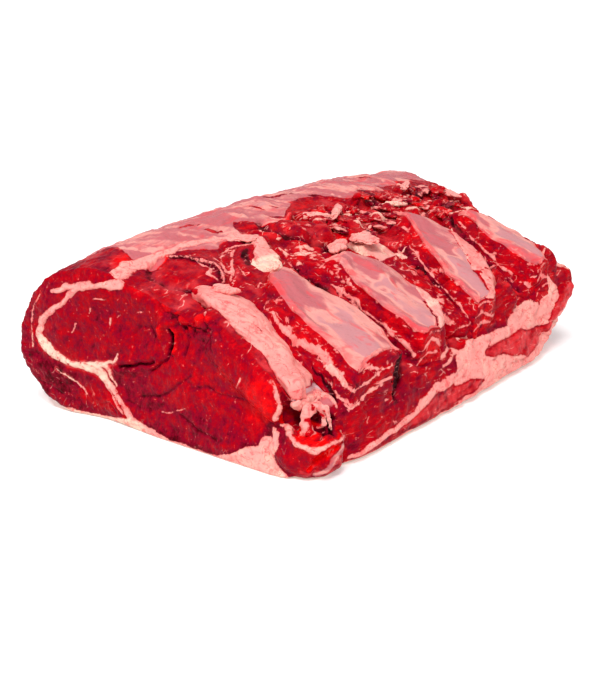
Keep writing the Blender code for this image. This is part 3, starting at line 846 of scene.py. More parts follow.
def frame_copy(name):
    """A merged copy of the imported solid."""
    piece = new_piece(name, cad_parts[NODE].data.copy())
    edit_all(piece, bpy.ops.mesh.remove_doubles, threshold=MERGE_DISTANCE)
    return piece


def keep_side(piece, axis, place, side):
    """Cuts a piece along a plane, keeps one side with a little overlap, and closes it."""
    spot = axis * (place - side * OVERLAP)
    facing = axis * -side
    edit_all(piece, bpy.ops.mesh.bisect, plane_co=spot, plane_no=facing, use_fill=True, clear_outer=True)


def thin_hidden_faces(piece, planes):
    """Leaves few faces on the cut walls inside the roast and on the underside."""
    mesh = piece.data
    activate(piece)
    centres, normals = vectors(mesh.polygons, "center"), vectors(mesh.polygons, "normal")
    hidden = (centres[:, 2] < UNDERSIDE_HEIGHT) & (normals[:, 2] < -FACING)
    for axis, place, side in planes:
        depth = centres @ np.array(axis) - (place - side * OVERLAP)
        hidden |= (side * depth < WALL_DEPTH) & (-side * (normals @ np.array(axis)) > FACING)
    mesh.vertices.foreach_set("select", np.zeros(len(mesh.vertices), bool))
    mesh.edges.foreach_set("select", np.zeros(len(mesh.edges), bool))
    mesh.polygons.foreach_set("select", hidden)
    bpy.context.tool_settings.mesh_select_mode = (False, False, True)
    bpy.ops.object.mode_set(mode="EDIT")
    bpy.ops.mesh.decimate(ratio=HIDDEN_RATIO)
    bpy.ops.object.mode_set(mode="OBJECT")


def make_chunk(name, chunk, material):
    """One stretch of the roast: cut out, remeshed finely, and sunk where bars and the strip lie on it."""
    piece = frame_copy(name)
    for axis, place, side in chunk.planes:
        keep_side(piece, axis, place, side)
    apply_modifier(piece, "REMESH", mode="VOXEL", voxel_size=chunk.voxel)
    apply_modifier(piece, "SMOOTH", factor=0.5, iterations=SMOOTHING_ROUNDS)
    thin_hidden_faces(piece, chunk.planes)
    if name == "cut_end":
        close_fold(piece)
    points, normals = coordinates(piece.data), vertex_normals(piece.data)
    look = roast_look(points, normals)
    free = ramp(points[:, 2], *UNDERSIDE_EDGE)
    bed = ramp(most(under_bars(points), under_strip(points)), *BED_EDGE) * ramp(points[:, 2], *BED_HEIGHTS)
    points = points - np.array((0.0, 0.0, BED_SINK)) * bed[:, None]
    finish_piece(piece, points, look._replace(rise=look.rise * free), material, normals)


# ---------------------------------------------------------------- the bars of rib meat


class Finger(NamedTuple):
    """A bar of rib meat: evenly spaced points on its top's near and far edges and on its near wall's foot.

    Then its depth, the place and half width of the seam in its wall, how rare the marbling is, how far the
    near rim of fat reaches and how much painted shade darkens the wall towards its foot.
    """

    near: tuple
    far: tuple
    foot: tuple
    depth: float
    seam: tuple
    marbling: float = 0.62
    rim: float = 0.0003
    wall_foot_shade: float = 0.45


FINGERS = {
    "rib_finger_1": Finger(
        near=mm((4, -90, 86.5), (26.8, -106, 82), (44.2, -114.5, 76), (68.4, -123.1, 67.5),
                (85.2, -124, 61.6), (94, -127.4, 58.6), (102, -127.5, 55.5)),
        far=mm((0, -72.5, 89), (23.3, -77, 83.2), (39.8, -78.4, 77.5), (60.3, -71, 70.3), (80, -77, 63.4),
               (92, -83, 59), (104, -89, 55.2)),
        foot=mm((10, -108, 79), (29.8, -126.7, 70), (46, -129.5, 62.5), (68.6, -133, 52.7),
                (82.6, -136.7, 49.2), (94.2, -141.4, 40.2), (102.9, -138.7, 31.2)),
        depth=0.026, seam=(0.44, 0.0028), marbling=0.52, rim=-0.0003, wall_foot_shade=0.0,
    ),
    "rib_finger_2": Finger(
        near=mm((18, -44, 89.5), (34.1, -46.3, 84.2), (50, -53.5, 78.3), (66.4, -59.7, 72.3),
                (83.4, -61.3, 66), (95, -64, 61.8), (104, -61, 58)),
        far=mm((18, -26, 90), (35.4, -18.5, 83.7), (54.2, -12.4, 76.8), (72, -16, 70.2), (87, -21.5, 64.6),
               (98, -30, 60.5), (107.5, -44, 57)),
        foot=mm((0.9, -59.3, 85.1), (18.3, -61.3, 77.4), (36.1, -59.6, 70), (56, -62, 63), (75, -66.5, 56),
                (92.4, -70.6, 48.2), (103.6, -70.2, 36.2)),
        depth=0.026, seam=(0.56, 0.0013), marbling=0.52,
    ),
    "rib_bed_step": Finger(
        near=mm((5.9, -3.8, 87), (54, -11.8, 68.5), (101.6, -19.8, 50)),
        far=mm((10.1, 19.8, 87), (57, 11, 68.5), (105.4, 1.8, 50)),
        foot=mm((3.1, -19.6, 69), (52, -27, 50), (98.8, -35.6, 32)),
        depth=0.018, seam=(0.42, 0.001),
    ),
    "rib_finger_3": Finger(
        near=mm((6, 54, 97), (27.8, 46, 89.9), (49.5, 26, 82.3), (65, 18, 76.8), (80, 10.5, 71.5),
                (93.8, 5, 66.7), (106, 0, 62)),
        far=mm((12, 64, 95), (30, 68, 89), (50, 69, 82), (67.6, 63.2, 75.9), (84.5, 52.8, 69.9), (98, 40, 65),
               (108.5, 13, 61)),
        foot=mm((6, 47, 90), (18, 38, 84), (42, 20, 74), (60, 12.5, 66.8), (78, 4, 60), (95, -6, 53),
                (106.5, -8, 40)),
        depth=0.028, seam=(0.52, 0.0009),
    ),
    "rib_finger_4": Finger(
        near=mm((33, 94.5, 91.5), (48, 89, 87.5), (60.8, 81.5, 84.1), (74, 77, 80.7), (87, 74.2, 77.3),
                (100, 72.5, 74), (109.5, 76, 71.3)),
        far=mm((34, 98.5, 91.5), (48, 102, 88), (60, 106, 84.5), (73.1, 108.5, 80.9), (86, 104, 77.5),
               (99, 97, 74.5), (112, 85, 71)),
        foot=mm((23, 95, 85), (38, 85, 80), (52, 76, 75.5), (68.4, 69, 70.2), (85, 61, 61), (100, 59, 53),
                (109, 69, 42.8)),
        depth=0.028, seam=(0.5, 0.0009),
    ),
}
FINGER_STEP = 0.0009
FINGER_ROUNDING = 0.0028
FINGER_DOME = 0.0024
START_DROP, START_REACH = 0.006, 0.15
BAR_FOOT = 0.008
FOOT_REACH = 1.5
BAR_SEED, BAR_SEED_STEP = 100, 17
LINE_POINTS, LINE_ROUNDS = 65, 12


def eased(stops, places, spots, rounds):
    """Points at spots along stops that have places, with the corners of their line rounded."""
    line = np.stack([np.interp(spots, places, column) for column in np.array(stops).T], axis=1)
    for _ in range(rounds):
        line[1:-1] = 0.25 * line[:-2] + 0.5 * line[1:-1] + 0.25 * line[2:]
    return line


def smooth_line(stops, shares):
    """Points at shares of the way along evenly spaced stops, with their corners rounded."""
    spots = np.linspace(0, 1, LINE_POINTS)
    line = eased(stops, np.linspace(0, 1, len(stops)), spots, LINE_ROUNDS)
    return np.stack([np.interp(shares, spots, column) for column in line.T], axis=1)


def under_bars(points):
    """How far inside a bar's outline a point lies, seen from above; below 0 outside."""
    deepest = np.full(len(points), -1.0)
    x, y = points[:, 0], points[:, 1]
    for finger in FINGERS.values():
        near, far = np.array(finger.near), np.array(finger.far)
        near_y = np.interp(x, near[:, 0], near[:, 1])
        far_y = np.interp(x, far[:, 0], far[:, 1])
        inside = [y - near_y + BAR_FOOT, far_y - y, x - near[0, 0], near[-1, 0] - x]
        deepest = np.maximum(deepest, np.minimum.reduce(inside))
    return deepest


def fine_block(name, sizes):
    """A cube cut into fine cells along each axis."""
    block = bmesh.new()
    bmesh.ops.create_cube(block, size=1.0)
    for axis, size in enumerate(sizes):
        edges = [e for e in block.edges if abs((e.verts[0].co - e.verts[1].co)[axis]) > 0.5]
        bmesh.ops.subdivide_edges(block, edges=edges, cuts=round(size / FINGER_STEP), use_grid_fill=True)
    mesh = bpy.data.meshes.new(name)
    block.to_mesh(mesh)
    block.free()
    return mesh


def soft_block(name, sizes, rounding):
    """A block of fine cells with round edges, and where its vertices lie as shares of its sides."""
    piece = new_piece(name, fine_block(name, sizes))
    return piece, rounded_block(coordinates(piece.data) + 0.5, np.array(sizes), rounding)


def bar_sizes(finger):
    """A bar's length, greatest width and depth."""
    near, far = np.array(finger.near), np.array(finger.far)
    return np.linalg.norm(near[-1] - near[0]), np.linalg.norm(far - near, axis=1).max(), finger.depth


def rounded_block(shares, sizes, radius):
    """Shares of a box moved in so that its edges are round; the radius is in metres."""
    placed = (shares - 0.5) * sizes
    inner = 0.5 * sizes - radius
    core = np.clip(placed, -inner, inner)
    past = placed - core
    length = np.linalg.norm(past, axis=1, keepdims=True)
    longest = np.abs(past).max(axis=1, keepdims=True)
    scale = np.where(length > 1e-9, longest / np.maximum(length, 1e-9), 0)
    return (core + past * scale) / sizes + 0.5


def on_bar(finger, shares):
    """Where shares of the unit block lie on a bar."""
    length, width, up = shares.T
    near, far, foot = (smooth_line(line, length) for line in (finger.near, finger.far, finger.foot))
    down = np.array((0, 0, -1))
    top = near + (far - near) * width[:, None]
    drop = START_DROP * np.maximum(0, 1 - length / START_REACH) ** 2
    drop -= FINGER_DOME * (1 - (2 * width - 1) ** 2)
    top += down * drop[:, None]
    floor_near = near + FOOT_REACH * (foot - near)
    floor_far = far + down * finger.depth
    floor = floor_near + (floor_far - floor_near) * width[:, None]
    return floor + (top - floor) * up[:, None]


NO_MEMBRANE = -0.006


class BarPlace(NamedTuple):
    """Where the points lie on a bar, the noise there, and the fat that all bars have."""

    points: np.ndarray
    seed: int
    length: np.ndarray
    full_width: np.ndarray
    from_far: np.ndarray
    top: np.ndarray
    near_rim: np.ndarray
    rim: np.ndarray
    net: np.ndarray
    wander: np.ndarray
    fine: np.ndarray


def wall_net(finger, points, seed):
    """How far a point lies inside the marbling of a bar's near wall; below 0 outside."""
    marbled = ramp(noise(points, 0.014, seed + 3), 0.05, 0.4)
    net = strands(points, (0.006, 0.008, 0.006), 0.0005, seed + 20) - 0.005 * (1 - marbled)
    clouds = noise(points, (0.01, 0.006, 0.0045), seed + 4) + 0.5 * noise(points, 0.0022, seed + 12)
    return most(net, 0.003 * (clouds - finger.marbling))


def membrane_glaze(place, width, from_near, broad):
    """How pale the membrane on a bar's top is: a wet hollow, streaks of painted sheen and a grey middle."""
    points, seed, length, wander = place.points, place.seed, place.length, place.wander
    glaze = 0.6 - 0.95 * bell(width - 0.36 + 0.1 * broad, 0.22) * (1 - 0.6 * length)
    glaze += 0.5 * noise(points, (0.04, 0.012, 0.02), seed + 21) + 0.25 * wander
    # Painted sheen: streaks of the membrane are paler where it would shine.
    painted_sheen = ramp(noise(points, (0.05, 0.009, 0.02), seed + 22) + 0.25 * place.fine, 0.08, 0.72)
    painted_sheen *= ramp(from_near, 0.003, 0.009) * ramp(place.from_far, 0.003, 0.009)
    glaze = glaze * (1 - 0.6 * painted_sheen) + 0.85 * painted_sheen
    middle = ramp(np.abs(width - 0.42 + 0.08 * broad), 0.33, 0.17)
    greyed = middle * ramp(length + 0.14 * wander + 0.1 * broad, 0.34, 0.56)
    return glaze * (1 - greyed) + 1.75 * greyed


def first_bar_marks(place, look):
    """The pale layers and the gap that run through the first bar's end, the gap darkened with painted shade.
    """
    layers, gaps = layered_end(place.points)
    fat = np.where(place.top > 0.5, look.fat, most(layers, place.net) - 0.01 * gaps)
    # The gap is darkened with painted shade.
    return look._replace(fat=fat, tone=look.tone - 1.5 * gaps * (1 - place.top))


def second_bar_marks(place, look):
    """A broad lobe of fat on the second bar's far half, with a dark line along it."""
    length, top, wander = place.length, place.top, place.wander
    share = np.interp(length, (0.42, 0.62, 0.82, 1.0), (0.0, 0.27, 0.33, 0.14))
    inside = share * place.full_width - place.from_far + 0.001 * wander
    lobe = ramp(inside, 0.0, 0.0012) * ramp(length, 0.44, 0.56)
    line = ramp(np.abs(inside), 0.0007, 0.0002) * ramp(length, 0.58, 0.7)
    glaze = look.cream - 0.35 * ramp(length, 0.4, 0.6) * top
    return look._replace(
        fat=np.where(top > 0.5, most(place.rim, 0.01 * lobe - 0.005) - 0.01 * line, look.fat),
        skin=np.where(line > 0.5, NO_MEMBRANE, look.skin),
        cream=np.where((top > 0.5) & (lobe > 0), 0.35 + 0.5 * wander, glaze),
        rise=look.rise + top * (lobe * (0.0014 + 0.0008 * place.fine) - 0.0012 * line),
    )


def third_bar_marks(place, look):
    """A patchy lobe of fat on the third bar's far half, torn from the membrane along its edge."""
    length, wander, fine = place.length, place.wander, place.fine
    share = np.interp(length, (0.25, 0.5, 0.75, 1.0), (0.1, 0.36, 0.44, 0.34))
    inside = share * place.full_width - place.from_far + 0.0016 * wander
    lobe = ramp(inside, -0.0005, 0.001) * ramp(length, 0.22, 0.4)
    tear = ramp(np.abs(inside + 0.0004), 0.0012, 0.0003) * ramp(length, 0.6, 0.68) * ramp(fine, -0.3, 0.1)
    patchy = 0.005 * lobe - 0.002 - 0.008 * ramp(fine + 0.6 * wander, 0.35, 0.75) - 0.01 * tear
    on_top, within = place.top > 0.5, lobe > 0.3
    return look._replace(
        fat=np.where(on_top & (lobe > 0), most(place.rim, patchy), look.fat - 0.01 * tear * place.top),
        skin=np.where(within | (tear > 0.4), NO_MEMBRANE, look.skin),
        tone=np.where(on_top & within, 0.4, look.tone) - 0.5 * tear,
        cream=np.where(on_top & within, -0.25 + 0.5 * wander, look.cream),
        rise=look.rise + place.top * (lobe * (0.001 + 0.0007 * fine) - 0.0012 * tear),
    )


def step_marks(place, look):
    """The low step: membrane at its start alone, and torn, stranded meat over the rest."""
    points, seed, top, wander = place.points, place.seed, place.top, place.wander
    skin = np.where(top > 0.5, 0.012 * ramp(place.length, 0.34, 0.26) + NO_MEMBRANE, NO_MEMBRANE)
    fat = np.where(top > 0.5, most(place.near_rim + 0.001, 0.004 * (wander - 0.55)), look.fat)
    return look._replace(
        fat=most(fat, strands(points, (0.006, 0.009, 0.006), 0.0004, seed + 14) - 0.004 * (1 - top)),
        skin=skin,
        tone=np.where(skin < 0, 0.05 + 0.4 * wander, look.tone),
        cream=np.where((top > 0.5) & (skin > 0), 1.0, 0.2),
        rise=look.rise + 0.0012 * noise(points @ TORN_GRAIN, (0.004, 0.012, 0.006), seed + 13),
    )


OWN_MARKS = {
    "rib_finger_1": first_bar_marks,
    "rib_finger_2": second_bar_marks,
    "rib_finger_3": third_bar_marks,
    "rib_bed_step": step_marks,
}


def bar_look(name, finger, shares, points):
    """Membrane on a bar's top between rims of fat, marbled meat on its near wall, layers at its end."""
    length, width, up = shares.T
    run = bar_sizes(finger)[0]
    full_width = np.linalg.norm(smooth_line(finger.far, length) - smooth_line(finger.near, length), axis=1)
    from_near, from_far, from_end = width * full_width, (1 - width) * full_width, (1 - length) * run
    depth = (1 - up) * finger.depth
    seed = BAR_SEED + BAR_SEED_STEP * sorted(FINGERS).index(name)
    broad, wander, fine = noises(points, (0.022, 0.009, 0.0042), seed)
    top = ramp(depth, 0.0024, 0.0014)
    near_wall = ramp(width, 0.12, 0.04) * (1 - top)
    end_wall = ramp(from_end, 0.004, 0.0015) * (1 - top)
    walls = near_wall + end_wall

    near_rim = finger.rim + 0.001 * wander + 0.0008 * broad + 0.0005 * fine - from_near
    far_rim = 0.0016 + 0.0018 * wander + 0.003 * broad - from_far + 0.004 * ramp(length, 0.45, 0.95)
    end_rim = 0.001 + 0.0012 * fine - from_end
    start_rim = 0.005 + 0.006 * broad - length * run
    rim = most(near_rim, far_rim, end_rim, start_rim)
    net = wall_net(finger, points, seed)
    lowered = depth + 0.002 * broad + 0.0012 * wander
    share, breadth = finger.seam
    stripe = breadth * (1 + 0.8 * wander) + 0.0012 * fine - np.abs(lowered - share * finger.depth)
    stripe -= 0.004 * ramp(length + 0.25 * broad, 0.3, 0.1)
    slope = lowered - 0.0085 - 0.007 * np.abs(width - 0.35)
    layer = 0.0011 + 0.0009 * fine - np.abs(slope)
    foot = 0.0007 + 0.0009 * wander - np.abs(slope - 0.0085 + 0.004 * width)
    end_fat = most(layer, foot, 0.0003 + 0.0007 * fine - np.abs(depth - 0.0042))
    rest = np.clip(1 - top - walls, 0, 1)
    fat = top * rim + near_wall * most(net, stripe) + end_wall * end_fat + rest * (0.003 * (wander - 0.1))

    place = BarPlace(points, seed, length, full_width, from_far, top, near_rim, rim, net, wander, fine)
    clefts = ridged(points, (0.012, 0.02, 0.007), seed + 8) ** 3
    # The near wall's meat is a little darker low down, as painted shade.
    lean = 0.28 + 0.3 * wander + 0.25 * broad - 0.15 * near_wall * ramp(lowered, 0.01, 0.018)
    flush = 1.15 * bell(from_near, 0.0034)
    flush += 0.7 * ramp(noise(points, (0.014, 0.007, 0.01), seed + 11), 0.25, 0.6)
    # The walls' clefts are darkened with painted shade.
    tone = np.where(top > 0.5, flush * (0.75 + 0.5 * wander) - 0.1, lean) - 0.35 * walls * clefts
    # Painted shade: the near wall darkens towards its foot.
    tone -= finger.wall_foot_shade * near_wall * ramp(depth / finger.depth, 0.4, 0.72)
    rim_cream = -0.75 + 0.5 * wander + 0.9 * ramp(from_near, 0.004, 0.012) * ramp(broad, -0.4, 0.5)
    cream = np.where(rim < 0, membrane_glaze(place, width, from_near, broad), rim_cream)
    cream = np.where(top > 0.5, cream, -0.35 + 0.5 * wander)
    lumps = 0.0009 * noise(points, 0.011, seed + 6) + 0.0005 * noise(points, 0.0055, seed + 7)
    rise = 0.0006 * noise(points, 0.014, seed + 9) + 0.0001 * noise(points, 0.004, seed + 10)
    rise += walls * (lumps - 0.001 * clefts + 0.0002 * noise(points, 0.002, seed + 5))
    rise += 0.0005 * ramp(fat, -0.0008, 0.0008) * walls
    rise += top * (0.0009 * bell(from_near - 0.0012, 0.0012) - 0.0016 * ramp(from_near, 0.001, 0.008))
    skin = np.where(top > 0.5, 0.004 + 0.002 * wander, NO_MEMBRANE)
    look = Look(fat, skin, tone, cream, rise, np.full(len(points), 0.8))
    return OWN_MARKS[name](place, look) if name in OWN_MARKS else look


def loosened(points, stretches):
    """Points moved by noise on more than one scale, so that a piece hangs like soft meat."""
    for reach, size, seed in stretches:
        points = warped(points, reach, size, seed)
    return points


def make_finger(name, finger, material):
    """One bar of rib meat, or the low step between two of them."""
    piece, shares = soft_block(name, bar_sizes(finger), FINGER_ROUNDING)
    points = on_bar(finger, shares)
    moved = loosened(points, ((0.0024, 0.03, 200), (0.0015, 0.012, 210)))
    finish_piece(piece, moved, bar_look(name, finger, shares, points), material)


# The strip of fat along the cut end, as (x, y, z, half width) of its top.
STRIP = mm(
    (-6, -144, 85, 7), (2, -139, 85, 14), (20, -139.5, 83, 18), (40, -145, 75.2, 18), (58, -147, 65, 14.5),
    (74, -153.5, 55.2, 15), (83, -159, 49, 10.5),
)
STRIP_SIZES = (0.102, 0.036, 0.011)
STRIP_ROUNDING = 0.0045
STRIP_TILT = 0.006


def on_strip(x):
    """The strip's middle and half width at a place along it."""
    stops = np.array(STRIP)
    return [np.interp(x, stops[:, 0], column) for column in stops.T[1:]]


def under_strip(points):
    """How far inside the strip's outline a point lies, seen from above; below 0 outside."""
    x, y = points[:, 0], points[:, 1]
    middle, _, half = on_strip(x)
    return np.minimum.reduce([half - np.abs(y - middle), x - STRIP[0][0], STRIP[-1][0] - x])


def make_strip(material):
    """The strip of fat: a thick soft ribbon with a ragged start and end."""
    piece, shares = soft_block("fat_strip", STRIP_SIZES, STRIP_ROUNDING)
    length, width, up = shares.T
    x = STRIP[0][0] + (STRIP[-1][0] - STRIP[0][0]) * length
    middle, top, half = on_strip(x)
    across = 2 * width - 1
    along_ends = np.stack((0 * x, 0.02 * across, 0.03 * np.sign(length - 0.5)), axis=1)
    raggedness = 0.004 * noise(along_ends, 0.01, 501)
    ends = np.abs(2 * length - 1) ** 6 * np.sign(length - 0.5)
    x = x + raggedness * np.abs(ends) + 0.004 * ends * (1 - across**2)
    z = top - STRIP_TILT * 0.5 * across - STRIP_SIZES[2] * (1 - up) - 0.0016 * across**2
    z -= 0.0048 * ramp(across, -0.3, 1.0) * ramp(length, 0.2, 0.45)
    points = np.stack((x, middle + across * half, z), axis=1)
    moved = loosened(points, ((0.0022, 0.026, 510), (0.0014, 0.01, 520)))
    lower = (1 - up) * STRIP_SIZES[2]
    broad, wander, fine = noises(points, (0.022, 0.009, 0.004), 530)
    folds = ridged(points @ STRIP_GRAIN, (0.034, 0.0065, 0.01), 540) ** 4
    lumps = ramp(length, 0.62, 0.8)
    rise = 0.0009 * broad + 0.0005 * wander + lumps * 0.0009 * wander - 0.0008 * folds * (1 - 0.6 * lumps)
    tears = wander + 0.7 * fine + 0.9 * bell(length - 0.2, 0.1) * ramp(across, -0.5, 0.2)
    tears += 1.2 * ramp(length, 0.16, 0.04) * ramp(across, 0.3, -0.5)
    fat = 0.004 - 0.008 * ramp(tears, 0.85, 1.35)
    fat = np.minimum(fat, 0.0035 - 0.8 * np.maximum(0, lower - 0.0045) - 0.0012 * wander)
    fat = np.minimum(fat, 0.0022 - 0.0032 * ramp(folds, 0.55, 0.9) * ramp(wander, 0.0, 0.5))
    edge = ramp(lower, 0.003, 0.0045) * ramp(lower, 0.008, 0.006)
    skin = np.where(edge * ramp(length, 0.35, 0.5) > 0.3, 0.003, ABSENT)
    cream = 0.05 + 0.45 * broad - 0.5 * ramp(lower, 0.001, 0.005) - 0.5 * ramp(length, 0.3, 0.05)
    cream -= 0.6 * folds * (1 - lumps)
    tone = 0.35 + 0.3 * wander - 0.4 * ramp(lower, 0.004, 0.009)
    finish_piece(piece, moved, Look(fat, skin, tone, cream, rise, np.zeros(len(x))), material)


# ---------------------------------------------------------------- scraps, tags and curls


class Lump(NamedTuple):
    """A flattened lump: its place, its shape, how much of it is fat, its colours and how torn it is."""

    centre: tuple
    radii: tuple
    turn: float
    tilt: float
    fat: float
    cream: float
    tone: float
    torn: float


def round_mesh(detail):
    """The points and faces of a fine sphere of radius 1."""
    ball = bmesh.new()
    bmesh.ops.create_icosphere(ball, subdivisions=detail, radius=1.0)
    points = np.array([vertex.co for vertex in ball.verts])
    faces = np.array([[vertex.index for vertex in face.verts] for face in ball.faces])
    ball.free()
    return points, faces


def joined_mesh(name, pieces):
    """One mesh from (points, faces) pairs."""
    mesh = bpy.data.meshes.new(name)
    starts = np.cumsum([0] + [len(points) for points, faces in pieces])
    points = np.concatenate([points for points, faces in pieces])
    faces = np.concatenate([faces + start for (_, faces), start in zip(pieces, starts)])
    mesh.from_pydata(points.tolist(), [], faces.tolist())
    return mesh


LUMP_GAP = 7.0  # how far apart the noises of one lump and the next are read


def lump_points(ball, lump, seed):
    """A sphere squashed, torn by noise, turned and put in its place."""
    radii = np.array(lump.radii)
    shape = ball * radii
    apart, size = shape + LUMP_GAP * seed, radii.mean()
    torn = 1 + 0.45 * noise(apart, 1.3 * size, 400)
    torn += lump.torn * 0.22 * noise(apart, 0.6 * size, 401)
    torn -= lump.torn * 0.25 * ridged(apart, (1.6 * size, 0.6 * size, 0.5 * size), 410) ** 2
    shape = shape * torn[:, None]
    tilt, turn = lump.tilt, lump.turn
    x, y, z = shape.T
    y, z = y * math.cos(tilt) - z * math.sin(tilt), y * math.sin(tilt) + z * math.cos(tilt)
    x, y = x * math.cos(turn) - y * math.sin(turn), x * math.sin(turn) + y * math.cos(turn)
    return np.stack((x, y, z), axis=1) + np.array(lump.centre)


def make_lumps(name, lumps, material, detail, first_seed=0):
    """All lumps of a kind in one piece."""
    ball, faces = round_mesh(detail)
    shapes = [(lump_points(ball, lump, first_seed + index), faces) for index, lump in enumerate(lumps)]
    piece = new_piece(name, joined_mesh(name, shapes))
    points = coordinates(piece.data)
    values = np.repeat(np.array([(lump.fat, lump.cream, lump.tone) for lump in lumps]), len(ball), axis=0)
    patches = noise(points, 0.006, 420)
    threads = strands(points, 0.0045, 0.00022, 424)
    look = Look(
        fat=most(0.003 * (values[:, 0] + 0.7 * patches), threads),
        skin=np.full(len(points), ABSENT),
        tone=values[:, 2] + 0.4 * noise(points, 0.008, 421),
        cream=values[:, 1],
        rise=0.0004 * noise(points, 0.0035, 422) + 0.0002 * noise(points, 0.0018, 423),
        veins=np.full(len(points), 0.6),
    )
    finish_piece(piece, points, look, material)


SCRAP_COUNT = 66
SCRAP_SEED = 11
SCRAP_DETAIL, TAG_DETAIL = 4, 6
# Where the scraps' row starts and ends, as (x, y), and how far they are strewn across and along.
SCRAP_ROW = ((-0.016, 0.004), (-0.01, 0.156))
SCRAP_SPREAD = ((-0.019, 0.021), (-0.006, 0.006))
# Between which values their half sizes, turns and colours are drawn. The width is a share of the length.
# The first number of FATTY_SCRAPS is how many of the scraps are fat, and the second is how fat those are.
SCRAP_LENGTH = (0.0055, 0.015)
SCRAP_WIDTH = (0.32, 0.6)
SCRAP_THICKNESS = (0.0013, 0.0026)
SCRAP_TURN = (-1.3, 0.4)
SCRAP_TILT = (-0.45, 0.45)
FATTY_SCRAPS, LEAN_SCRAPS = (0.16, 0.05), (-0.9, -0.35)
SCRAP_CREAM, SCRAP_TONE = (0.0, 0.3), (-0.5, 0.6)
SCRAP_LIFT = 0.2  # how far a scrap's middle lies above the roast, as a share of its half thickness
DROP_HEIGHT = 1.0


def node_surface():
    """The roast's plain shape, to set scraps upon."""
    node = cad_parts[NODE]
    corners = [node.matrix_world @ vertex.co for vertex in node.data.vertices]
    return BVHTree.FromPolygons(corners, [tuple(face.vertices) for face in node.data.polygons])


def scrap_lumps():
    """Torn scraps strewn along the row between the ridge and the bars."""
    draw = np.random.default_rng(SCRAP_SEED)
    (start_x, start_y), (end_x, end_y) = SCRAP_ROW
    lumps = []
    surface = node_surface()
    for index in range(SCRAP_COUNT):
        share = (index + draw.uniform(-0.5, 0.5)) / SCRAP_COUNT
        x = start_x + (end_x - start_x) * share + draw.uniform(*SCRAP_SPREAD[0])
        y = start_y + (end_y - start_y) * share + draw.uniform(*SCRAP_SPREAD[1])
        place = surface.ray_cast(Vector((x, y, DROP_HEIGHT)), Vector((0, 0, -1)))[0]
        if place is None:
            raise RuntimeError("A scrap lies past the roast's edge")
        length = draw.uniform(*SCRAP_LENGTH)
        radii = (length, length * draw.uniform(*SCRAP_WIDTH), draw.uniform(*SCRAP_THICKNESS))
        turn = draw.uniform(*SCRAP_TURN)
        tilt = draw.uniform(*SCRAP_TILT)
        fat = FATTY_SCRAPS[1] if draw.uniform() < FATTY_SCRAPS[0] else draw.uniform(*LEAN_SCRAPS)
        centre = (x, y, place.z + SCRAP_LIFT * radii[2])
        cream, tone = draw.uniform(*SCRAP_CREAM), draw.uniform(*SCRAP_TONE)
        lumps.append(Lump(centre, radii, turn, tilt, fat, cream, tone, 1.0))
    return lumps


FAT_TAGS = (
    Lump(*mm((-6, -87.2, 86.8), (13.8, 8.8, 2.6)), 0.62, 0.34, 2, 0.62, 0, 0.45),
    Lump(*mm((7.8, -135.8, 85), (8.4, 4, 3)), 0.65, 0.35, 2, 0.1, 0.3, 0.6),
    Lump(*mm((15, 0, 88), (12, 8, 2.2)), -0.4, 0.15, 0.8, 0.15, 0.2, 0.7),
    Lump(*mm((7.5, -20.5, 85.6), (11, 6.4, 2.6)), -1.2, 0.1, 1, 0.1, 0.2, 0.8),
    Lump(*mm((-30, -75, 97), (13, 6, 1.8)), 0.9, 0.1, 0.7, 0.1, 0.3, 0.8),
)
FAT_LEAVES = (
    Lump(*mm((-29, 3, 95.8), (13, 4.8, 1.8)), 0.8, 0.3, 1.1, 0.26, 0.3, 0.6),
    Lump(*mm((-23.5, 22.5, 96.2), (17, 4.2, 2.4)), 2.12, -0.55, 1.1, 0.26, 0.3, 0.6),
    Lump(*mm((-6, 142.5, 88.5), (15, 4.2, 1.8)), -0.43, 0.2, 1, 0.2, 0.3, 0.7),
    Lump(*mm((-25, 113, 96.2), (15, 4, 2)), -1.03, 0.3, 0.8, 0.1, 0.3, 0.8),
    Lump(*mm((-9.5, 76.5, 92.4), (11, 2.8, 1.8)), 0.89, 0.2, 1.4, 0.6, 0.3, 0.6),
)


class Curl(NamedTuple):
    """A curl of fat: points from its root to its tip, each with a radius, and how flat it is."""

    stops: tuple
    flatness: float


CURLS = (
    Curl(mm((1, -4, 40.5, 2.4), (-0.6, -3, 37.8, 3.6), (-3.4, -1, 33.3, 3.1), (-3.4, 1, 29.3, 3.6),
            (-1.4, 4, 25.2, 4.2), (-0.4, 6, 22.4, 3.4)), 0.7),
    Curl(mm((0, -5, 40.8, 2), (3.5, -4, 39.5, 2.7), (6.4, -4, 36.9, 2.7), (9.4, -4, 34, 1.9),
            (11.5, -5, 32.3, 0.8)), 0.6),
    Curl(mm((4.5, -1, 36.8, 0.6), (6.4, 0, 33.7, 0.9), (7.4, 0, 31.1, 1.1), (6.9, 1, 28.8, 1.3),
            (5, 1, 28, 1.1), (3.7, 1, 28.8, 0.7)), 0.6),
    Curl(mm((6.4, -2, 37.6, 0.8), (8.9, -1.5, 32.9, 0.9), (9.9, -1, 30.3, 0.9), (10.8, -1, 27.4, 0.8),
            (12.3, -1, 26.1, 0.4)), 0.6),
    Curl(mm((-11.2, -4.5, 40.5, 1), (-9, -4.5, 38.5, 2.6), (-5.6, -6, 37.8, 3), (-0.8, -9.5, 39.2, 2.4),
            (4.5, -16.5, 40.2, 1.4), (9, -20, 39.6, 0.6)), 0.35),
)
CURL_RINGS, CURL_SIDES, CURL_ROUNDS = 48, 28, 6


